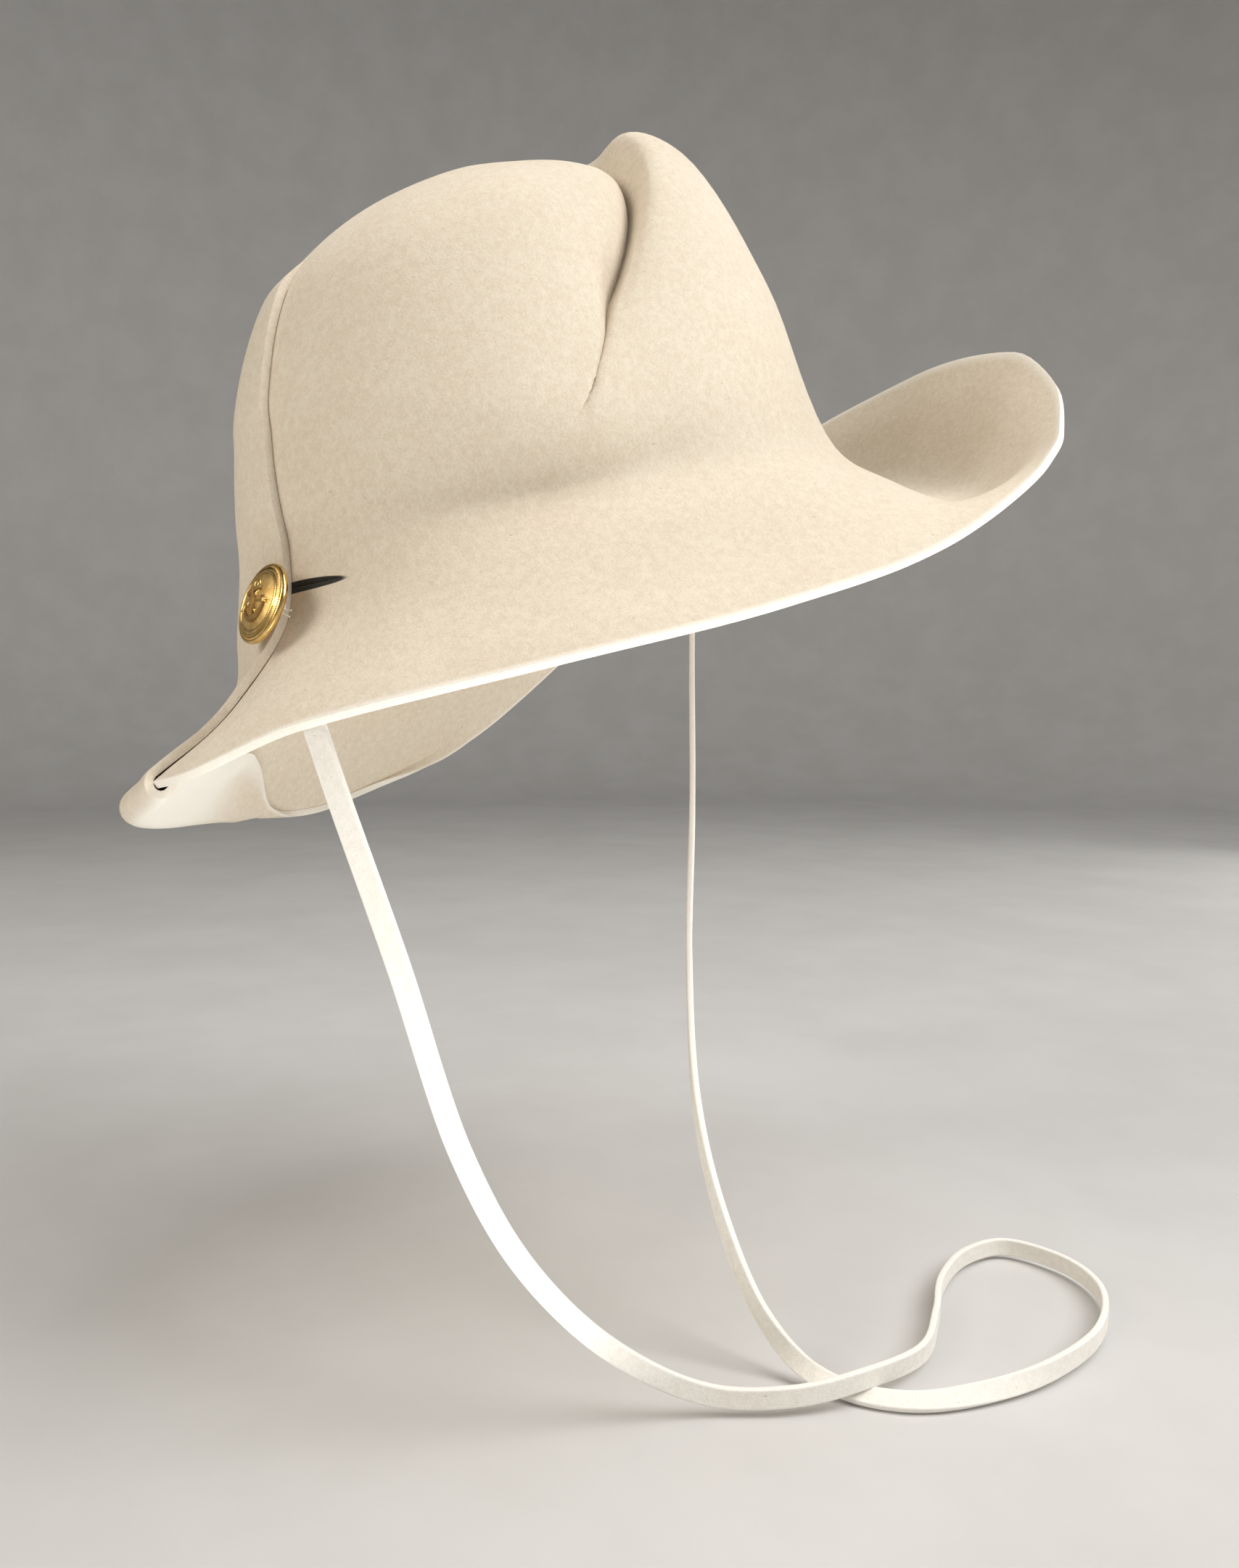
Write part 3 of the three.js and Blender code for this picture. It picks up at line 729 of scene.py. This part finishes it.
# Middle, size and turn in degrees
SHANK = ((0, -0.6), (1.5, 9.4, ANCHOR_RELIEF), 0)
STOCK = ((0, 3.0), (6.6, 1.3, ANCHOR_RELIEF), 0)
LEFT_FLUKE = ((-4.9, -1.1), (2.4, 1.2, ANCHOR_RELIEF), 52)
RIGHT_FLUKE = ((4.9, -1.1), (2.4, 1.2, ANCHOR_RELIEF), -52)
# Radius, first angle, last angle and middle
ARMS = (5.2, 196, 344, (0, -0.1))
RING = (1.35, -80, 262, (0, 5.3))


def arc(radius, start, end, middle, steps):
    """Points of the field on part of a circle."""
    way = np.radians(np.linspace(start, end, steps))
    return list(zip(middle[0] + radius * np.cos(way), middle[1] + radius * np.sin(way)))


raised_bm = bmesh.new()
raised_bar(raised_bm, *SHANK)
raised_bar(raised_bm, *STOCK)
arm_marks = (0, ARM_STEPS // 2, ARM_STEPS - 1)
arm_thick = np.interp(np.arange(ARM_STEPS), arm_marks, (ARM_ENDS, ARM_MIDDLE, ARM_ENDS))
raised_rod(raised_bm, arc(*ARMS, ARM_STEPS), arm_thick)
raised_rod(raised_bm, arc(*RING, RING_STEPS), [RING_THICK] * RING_STEPS)
raised_bar(raised_bm, *LEFT_FLUKE)
raised_bar(raised_bm, *RIGHT_FLUKE)
print("anchor faces", len(raised_bm.faces))

# %% Rope
ANCHOR_TURN = math.radians(12)
ROPE_STEPS = 60
ROPE_TOP = 5.0
ROPE_DROP = 9.2
ROPE_SWAY = 2.9
ROPE_END_SWAY = 0.45
ROPE_BENDS = 2.4
ROPE_THICK = 1.0
ROPE_STRAND = 0.15
ROPE_TURNS = 9

rope_share = np.linspace(0, 1, ROPE_STEPS)
rope_sway = ROPE_END_SWAY + (1 - ROPE_END_SWAY) * np.sin(rope_share * math.pi)
rope_x = ROPE_SWAY * np.sin(rope_share * math.pi * ROPE_BENDS) * rope_sway
rope_y = ROPE_TOP - ROPE_DROP * rope_share
rope_thick = ROPE_THICK + ROPE_STRAND * np.sin(rope_share * math.pi * 2 * ROPE_TURNS)
raised_rod(raised_bm, list(zip(rope_x, rope_y)), rope_thick)
bmesh.ops.recalc_face_normals(raised_bm, faces=raised_bm.faces)
anchor_turned = Matrix.Rotation(ANCHOR_TURN, 3, "Z")
bmesh.ops.rotate(raised_bm, cent=(0, 0, 0), matrix=anchor_turned, verts=raised_bm.verts)
print("anchor and rope faces", len(raised_bm.faces))

# %% Join the button and put it in place
GROOVES = (8.58, 9.6, 10.97)
GROOVE_REACH = 0.14
GROOVE_ABOVE = STAND + 2
ANCHOR_SHADE = 0.6
MILLED_SHADE = 0.7

beside = kdtree.KDTree(len(raised_bm.verts))
for index, vertex in enumerate(raised_bm.verts):
    beside.insert((vertex.co.x, vertex.co.y, 0), index)
beside.balance()
raised_mesh = bpy.data.meshes.new("anchor")
raised_bm.to_mesh(raised_mesh)
raised_bm.free()
spun_count = len(button_bm.verts)
button_bm.from_mesh(raised_mesh)
bpy.data.meshes.remove(raised_mesh)
satin_layer = button_bm.verts.layers.float.new("satin")
lacquer_and_shade_layer = button_bm.verts.layers.float.new("lacquer_and_shade")
# Merging left free slots, and the anchor's first vertices fill them. So its shank, stock and arms are among
# the vertices marked here and come out dark, and a narrow wedge of the field is left out and stays polished.
# The value is old lacquer in the grooves, and painted shade on the field close to the anchor and on the low
# steps of the milling.
for vertex in list(button_bm.verts)[:spun_count]:
    x, y, z = vertex.co
    radius = math.hypot(x, y)
    if radius <= FIELD_RADIUS and z > STAND:
        reach = beside.find((x, y, 0))[2]
        vertex[satin_layer] = 1
        vertex[lacquer_and_shade_layer] = max(1 - reach / ANCHOR_SHADE, 0)
    elif z > GROOVE_ABOVE and any(abs(radius - mark) < GROOVE_REACH for mark in GROOVES):
        vertex[lacquer_and_shade_layer] = 1
    elif milled(vertex):
        vertex[lacquer_and_shade_layer] = MILLED_SHADE
bmesh.ops.transform(button_bm, matrix=button_place, verts=button_bm.verts)
button = finished_object("anchor_button", button_bm)
shade_smooth(button)
print("button faces", len(button.data.polygons))

# %% [markdown]
# ## Sewing thread
# A sewn-on button shows a little of its thread: a few turns round the stem, and loose ends beside it.
# A curve with a round bevel is the quickest way to a thread, and it is made a mesh before it is moved.

# %% Round threads
THREAD_RADIUS = 0.22


def thread_mesh(name, lines):
    """Round threads along lines of points in the button's frame, as one mesh in its place."""
    curve = bpy.data.curves.new(name, "CURVE")
    curve.dimensions = "3D"
    curve.bevel_depth = THREAD_RADIUS
    curve.bevel_resolution = 2
    curve.use_fill_caps = True
    for line in lines:
        spline = curve.splines.new("POLY")
        spline.points.add(len(line) - 1)
        for point, place in zip(spline.points, line):
            point.co = (*place, 1)
    drawn = bpy.data.objects.new(name, curve)
    bpy.context.scene.collection.objects.link(drawn)
    mesh = bpy.data.meshes.new_from_object(drawn.evaluated_get(bpy.context.evaluated_depsgraph_get()))
    bpy.data.objects.remove(drawn)
    bpy.data.curves.remove(curve)
    mesh.transform(button_place)
    made = bpy.data.objects.new(name, mesh)
    bpy.context.scene.collection.objects.link(made)
    return made


print("thread", 2 * THREAD_RADIUS, "mm thick")

# %% Thread round the stem and its loose ends
STEM_TURNS = 5
STEM_TURN_RADIUS = 2.5
STEM_POINTS = 120
STEM_FOOT = -0.5
STEM_CLIMB = 0.05
LOOSE_POINTS = 24
LOOSE_SWAY = 0.013
LOOSE_HEIGHT = 0.4
LOOSE_WAVE = 0.5
LOOSE_WAVE_POINTS = 5
# Heading in radians and reach of each loose end
LOOSE_ENDS = ((-0.5, 7.7), (-0.25, 7.4))


def loose_end(heading, reach):
    """A thread from the stem towards the rim, a little wavy."""
    outs = np.linspace(STEM_TURN_RADIUS, reach, LOOSE_POINTS)
    sways = heading + LOOSE_SWAY * outs
    rises = LOOSE_HEIGHT + LOOSE_WAVE * np.sin(np.arange(LOOSE_POINTS) / LOOSE_WAVE_POINTS)
    return list(zip(outs * np.cos(sways), outs * np.sin(sways), rises))


turns = np.linspace(0, STEM_TURNS * 2 * math.pi, STEM_POINTS)
around = STEM_TURN_RADIUS * np.stack([np.cos(turns), np.sin(turns)], axis=1)
wound = [(x, y, STEM_FOOT + STEM_CLIMB * a) for (x, y), a in zip(around, turns)]
thread = thread_mesh("button_thread", [wound] + [loose_end(*end) for end in LOOSE_ENDS])
shade_smooth(thread)
print("thread faces", len(thread.data.polygons))

# %% [markdown]
# ## Writing materials as sums
# A felt's colour and nap are sums of a few noises. Wiring them by hand hides the sum, so a small class
# wraps a socket, and Python's own operators add the Math nodes. Every other node comes from one method.

# %% Sockets with operators
class Wire:
    """One output of a material's nodes."""

    def __init__(self, finish, socket):
        self.finish = finish
        self.socket = socket

    def math(self, operation, first, second):
        return self.finish.node("ShaderNodeMath", {"operation": operation}, {0: first, 1: second})

    def __add__(self, other):
        return self.math("ADD", self, other)

    def __radd__(self, other):
        return self.math("ADD", other, self)

    def __sub__(self, other):
        return self.math("SUBTRACT", self, other)

    def __rsub__(self, other):
        return self.math("SUBTRACT", other, self)

    def __mul__(self, other):
        return self.math("MULTIPLY", self, other)

    def __rmul__(self, other):
        return self.math("MULTIPLY", other, self)


print("sums ready")

# %% Materials that take sums
class Finish:
    """A procedural material: one shader and the nodes that feed it."""

    def __init__(self, name, constants):
        self.material = bpy.data.materials.new(name)
        self.material.use_nodes = True
        self.tree = self.material.node_tree
        self.shader = self.tree.nodes["Principled BSDF"]
        for socket, value in constants.items():
            self.shader.inputs[socket].default_value = value

    def pick(self, sockets, key):
        if isinstance(key, int):
            return sockets[key]
        return next((s for s in sockets if s.identifier == key), None) or sockets[key]

    def feed(self, socket, value):
        if isinstance(value, Wire):
            self.tree.links.new(value.socket, socket)
        else:
            socket.default_value = value

    def node(self, kind, settings=None, sockets=None, output=0):
        """Any node: its type, its settings, and the values or links of its sockets."""
        made = self.tree.nodes.new(kind)
        for key, value in (settings or {}).items():
            setattr(made, key, value)
        for key, value in (sockets or {}).items():
            self.feed(self.pick(made.inputs, key), value)
        return Wire(self, self.pick(made.outputs, output))

    def paint(self, socket, value):
        self.feed(self.shader.inputs[socket], value)

    def wear(self, *pieces):
        for piece in pieces:
            piece.data.materials.clear()
            piece.data.materials.append(self.material)


print("material tools ready")

# %% Noise and mixing in short words
def grain(finish, scale, detail=2.0, roughness=0.5, stretch=None):
    """Noise on the piece's own coordinates, from about 0 to 1; scale counts waves in a metre."""
    place = finish.node("ShaderNodeTexCoord", output="Object")
    if stretch:
        place = finish.node("ShaderNodeMapping", None, {"Vector": place, "Scale": stretch}, "Vector")
    sockets = {"Vector": place, "Scale": scale, "Detail": detail, "Roughness": roughness}
    return finish.node("ShaderNodeTexNoise", None, sockets, 0)


def mixed(finish, share, first, second):
    sockets = {"Factor_Float": share, "A_Color": first, "B_Color": second}
    return finish.node("ShaderNodeMix", {"data_type": "RGBA"}, sockets, "Result_Color")


def between(finish, value, low, high):
    """0 below low and 1 above high."""
    sockets = {"Value": value, "From Min": low, "From Max": high}
    return finish.node("ShaderNodeMapRange", {"interpolation_type": "SMOOTHSTEP"}, sockets, 0)


def vertex_value(finish, name):
    return finish.node("ShaderNodeAttribute", {"attribute_name": name}, None, "Fac")


def bumped(finish, strength, depth, height):
    """Roughens the light on a piece by a height that changes over it."""
    sockets = {"Strength": strength, "Distance": depth, "Height": height}
    finish.paint("Normal", finish.node("ShaderNodeBump", None, sockets, "Normal"))


print("noise tools ready")

# %% [markdown]
# ## Felt
# Wool felt is matt, with a nap of short fibres that makes a fine grain, soft clouds where the wool was
# uneven, and a pale, rougher cut edge where the fibres stand up; at the brim's rim that paleness is also
# painted light for the strong light there, and the hem under the front tip is whitened as painted light.
# Sheen stands for the fibres that catch light at a glancing angle. The strap is the same felt, with paler
# tones that are painted light for the strong light on it.

# %% Near-black oval painted round the buttonhole
DARK_OVAL_SHIFT = -6
DARK_OVAL_SIZE = (20.5, 1.75)
DARK_OVAL_FADE = (0.9, 1.05)

dark_oval_frame = worn_turn @ felt_frame(HOLE_ANGLE, HOLE_ROW, 0) @ Matrix.Rotation(HOLE_LEAN, 4, "Z")
dark_oval_frame = dark_oval_frame @ Matrix.Translation((DARK_OVAL_SHIFT, 0, 0))


def painted_dark_oval(finish):
    """1 inside a long oval across the near layer round the buttonhole, where the felt is painted near-black.
    """
    middle, turned, _ = dark_oval_frame.decompose()
    sockets = {"Vector": finish.node("ShaderNodeTexCoord", output="Object"), "Location": middle,
               "Rotation": turned.to_euler(), "Scale": (DARK_OVAL_SIZE[0] * MM, DARK_OVAL_SIZE[1] * MM, 1)}
    local = finish.node("ShaderNodeMapping", {"vector_type": "TEXTURE"}, sockets, "Vector")
    flat = finish.node("ShaderNodeVectorMath", {"operation": "MULTIPLY"}, {0: local, 1: (1, 1, 0)}, "Vector")
    reach = finish.node("ShaderNodeVectorMath", {"operation": "LENGTH"}, {0: flat}, "Value")
    return (1 - between(finish, reach, *DARK_OVAL_FADE)) * vertex_value(finish, "near_side")


print("dark edges", DARK_OVAL_SIZE[0], "by", DARK_OVAL_SIZE[1], "mm each way")

# %% Felt finishes
WOOL = {"Sheen Weight": 0.12, "Sheen Roughness": 0.45, "Specular IOR Level": 0.2}
# Waves in a metre, detail and roughness of each noise
CLOUDS = (40, 2, 0.5)
MOTTLE = (420, 3, 0.6)
NAP = (1500, 3, 0.7)
FLECKS = (420, 1, 0.5)
FLECK_STRETCH = (1, 1, 3)
# Shares of the noises in the colour and in the height of the nap
TONE = {"clouds": 0.14, "mottle": 0.36, "nap": 0.5}
RELIEF = {"mottle": 0.5, "nap": 0.7, "cut nap": 0.8}
TONE_RANGE = (0.36, 0.64)
FLECK_RANGE = (0.74, 0.8)
FLECK_STRENGTH = 0.35
FLECK_COLOUR = (0.33, 0.24, 0.15, 1)
DARK_OVAL_COLOUR = (0.012, 0.011, 0.009, 1)
CUT_PALENESS_AND_LIGHT = 0.75
HEM_PAINTED_LIGHT = 0.95
FELT_ROUGHNESS = 0.92
DARK_OVAL_GLOSS = 0.4
NAP_STRENGTH = 0.35
NAP_DEPTH = 0.7 * MM


def felt_finish(name, deep, pale, edge):
    """Felt between two tones, with an edge colour that paints the cut edges paler, partly as painted light,
    and whitens the hem as painted light.
    """
    finish = Finish(name, WOOL)
    clouds = grain(finish, *CLOUDS)
    mottle = grain(finish, *MOTTLE)
    nap = grain(finish, *NAP)
    tone = TONE["clouds"] * clouds + TONE["mottle"] * mottle + TONE["nap"] * nap
    colour = mixed(finish, between(finish, tone, *TONE_RANGE), deep, pale)
    fleck = between(finish, grain(finish, *FLECKS, FLECK_STRETCH), *FLECK_RANGE)
    colour = mixed(finish, FLECK_STRENGTH * fleck, colour, FLECK_COLOUR)
    cut = vertex_value(finish, "cut_edge_pale_and_lit")
    dark_oval = painted_dark_oval(finish)
    # Paleness of the cut edges, partly painted light at the rim, and painted light on the hem.
    paleness_and_painted_light = CUT_PALENESS_AND_LIGHT * cut + HEM_PAINTED_LIGHT * vertex_value(finish, "hem_painted_light")
    colour = mixed(finish, paleness_and_painted_light, colour, edge)
    # The oval is painted near-black, so the slit stays dark under any light.
    finish.paint("Base Color", mixed(finish, dark_oval, colour, DARK_OVAL_COLOUR))
    finish.paint("Roughness", FELT_ROUGHNESS - DARK_OVAL_GLOSS * dark_oval)
    relief = RELIEF["nap"] * nap + RELIEF["mottle"] * mottle + RELIEF["cut nap"] * (cut * nap)
    bumped(finish, NAP_STRENGTH, NAP_DEPTH, relief)
    return finish


# The edge colour is partly the paler fibres of the cut edges and partly painted light.
CREAM = {"deep": (0.645, 0.557, 0.44, 1), "pale": (0.74, 0.664, 0.548, 1), "edge": (0.89, 0.86, 0.79, 1)}
# The strap's paler tones are painted light: it is the same felt as the hat, painted paler for the strong
# light that falls on it.
STRAP_LIT_FELT = {"deep": (0.78, 0.745, 0.68, 1), "pale": (0.87, 0.845, 0.79, 1), "edge": (0.9, 0.88, 0.83, 1)}
hat_felt = felt_finish("cream felt", **CREAM)
strap_lit_felt = felt_finish("strap felt painted light", **STRAP_LIT_FELT)
hat_felt.wear(felt)
strap_lit_felt.wear(strap)
print("felt finishes ready")

# %% [markdown]
# ## Brass
# The rim and the raised work are polished by handling, and the field is satin. Old lacquer and dust
# stay in the grooves, and the field close to the anchor and the low steps of the milling get painted
# shade, so a value kept on the vertices darkens and dulls them.

# %% Brass finish
PATINA = (380, 4, 0.65)
PATINA_RANGE = (0.35, 0.7)
SCRATCHES = (2600, 2, 0.6)
SCRATCH_STRENGTH = 0.12
SCRATCH_DEPTH = 0.2 * MM
GOLD_DEEP = (0.70, 0.45, 0.14, 1)
GOLD_PALE = (0.88, 0.63, 0.26, 1)
LACQUER_AND_SHADE_COLOUR = (0.16, 0.085, 0.03, 1)
LACQUER_AND_SHADE_STRENGTH = 0.75
POLISHED = 0.16
# What each mark adds to the roughness
DULLED = {"satin": 0.17, "lacquer_and_shade": 0.25, "patina": 0.12}

brass = Finish("gilt brass", {"Metallic": 1.0})
satin = vertex_value(brass, "satin")
lacquer_and_shade = vertex_value(brass, "lacquer_and_shade")
patina = grain(brass, *PATINA)
gold = mixed(brass, between(brass, patina, *PATINA_RANGE), GOLD_DEEP, GOLD_PALE)
# Painted shade round the anchor and in the milling, and old lacquer in the grooves, darken the gold.
brass.paint("Base Color", mixed(brass, LACQUER_AND_SHADE_STRENGTH * lacquer_and_shade, gold, LACQUER_AND_SHADE_COLOUR))
dullness = DULLED["satin"] * satin + DULLED["lacquer_and_shade"] * lacquer_and_shade + DULLED["patina"] * patina
brass.paint("Roughness", POLISHED + dullness)
bumped(brass, SCRATCH_STRENGTH, SCRATCH_DEPTH, grain(brass, *SCRATCHES))
brass.wear(button)
print("brass ready")

# %% Thread finish
TWIST = (3200, 1)
TWIST_RANGE = (0.4, 0.6)
COTTON_DEEP = (0.78, 0.75, 0.69, 1)
COTTON_PALE = (0.9, 0.88, 0.84, 1)

cotton = Finish("white thread", {"Roughness": 0.8, "Sheen Weight": 0.2})
twist = between(cotton, grain(cotton, *TWIST), *TWIST_RANGE)
cotton.paint("Base Color", mixed(cotton, twist, COTTON_DEEP, COTTON_PALE))
cotton.wear(thread)
print("thread finish ready")

# %% [markdown]
# ## Floor and light
# A plain pale floor that rises into a round wall far behind gives an even background from every side.
# The light is soft daylight: a broad lamp high on the right, a broader one overhead, a warm one in front,
# and low lamps for the light that a pale floor throws up under the brim. The camera doesn't see them.

# %% Floor
FLOOR_HEIGHT = CAD_BOX[0].z - 0.4 * MM
FLOOR_RADIUS = 2.4
FLOOR_RINGS = 4
BEND_RADIUS = 0.8
BEND_FROM = 0.1
BEND_RINGS = 14
WALL_HEIGHT = 4.5
FLOOR_STEPS = 96

floor_line = [(FLOOR_RADIUS * k / FLOOR_RINGS, 0) for k in range(FLOOR_RINGS + 1)]
floor_line += [(FLOOR_RADIUS + BEND_RADIUS * math.sin(a), BEND_RADIUS * (1 - math.cos(a)))
               for a in np.linspace(BEND_FROM, math.pi / 2, BEND_RINGS)]
floor_line.append((FLOOR_RADIUS + BEND_RADIUS, WALL_HEIGHT))
floor_bm = spun([(radius, FLOOR_HEIGHT + rise) for radius, rise in floor_line], FLOOR_STEPS, MERGE_REACH)
floor = finished_object("floor", floor_bm)
shade_smooth(floor)
print("floor at", round(FLOOR_HEIGHT, 4))

# %% Floor finish
PAINT_CLOUDS = (9, 4, 0.6)
PAINT_RANGE = (0.3, 0.7)
PAINT_DEEP = (0.57, 0.563, 0.55, 1)
PAINT_PALE = (0.61, 0.603, 0.593, 1)

pale_floor = Finish("pale floor", {"Roughness": 0.7})
worn_paint = between(pale_floor, grain(pale_floor, *PAINT_CLOUDS), *PAINT_RANGE)
pale_floor.paint("Base Color", mixed(pale_floor, worn_paint, PAINT_DEEP, PAINT_PALE))
pale_floor.wear(floor)
print("floor finish ready")

# %% Lights
HAT_MIDDLE = (0, 0, 0)
DAYLIGHT = (1.0, 0.99, 0.975)
WARM_LIGHT = (1.0, 0.93, 0.83)
FLOOR_LIGHT = (1.0, 0.985, 0.955)
ROOM_TINT = (0.93, 0.95, 1.0, 1)
ROOM_STRENGTH = 0.06

# Name, place, width, power, colour and the point that it faces
LIGHTS = (
    ("window", (1.3, 0.95, 1.3), 1.1, 33, DAYLIGHT, HAT_MIDDLE),
    ("sky", (0.5, 0.45, 1.8), 1.2, 19, DAYLIGHT, HAT_MIDDLE),
    ("room", (0.1, -1.6, 0.85), 1.1, 17, WARM_LIGHT, HAT_MIDDLE),
    ("low bounce", (-0.3, 1.6, -0.05), 0.6, 4, FLOOR_LIGHT, HAT_MIDDLE),
    ("floor bounce", (0.3, 0.2, -0.262), 0.25, 1.6, FLOOR_LIGHT, (0.3, 0.2, 1)),
    ("front bounce", (0.19, -0.14, -0.262), 0.2, 0.4, FLOOR_LIGHT, (0.19, -0.14, 1)),
)


def soft_light(name, place, width, power, colour, target):
    """A square light that faces a point and that the camera doesn't see."""
    data = bpy.data.lights.new(name, "AREA")
    data.shape = "SQUARE"
    data.size = width
    data.energy = power
    data.color = colour
    lamp = bpy.data.objects.new(name, data)
    lamp.location = place
    lamp.rotation_euler = (Vector(target) - Vector(place)).to_track_quat("-Z", "Y").to_euler()
    lamp.visible_camera = False
    bpy.context.scene.collection.objects.link(lamp)


for light in LIGHTS:
    soft_light(*light)
world = bpy.data.worlds.new("soft room")
world.use_nodes = True
background = world.node_tree.nodes["Background"]
background.inputs["Color"].default_value = ROOM_TINT
background.inputs["Strength"].default_value = ROOM_STRENGTH
bpy.context.scene.world = world
bpy.context.scene.view_settings.view_transform = "Standard"
print("lights", len(LIGHTS))

# %% [markdown]
# ## Pieces on the hat's body
# Every piece rides on the hat's one body, and the imported felt, button and strap are hidden, since the
# pieces made here stand for them. The strap itself is limp felt, sewn to the hat at both ends; its route
# is also turned into a list of points, which nothing uses.

# %% Pieces on the body
for piece, slot in ((felt, "felt"), (button, "button"), (strap, "strap"), (thread, "felt")):
    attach(piece, "root")
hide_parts("felt_body")
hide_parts("button")
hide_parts("chin_strap")
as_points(strap_path)
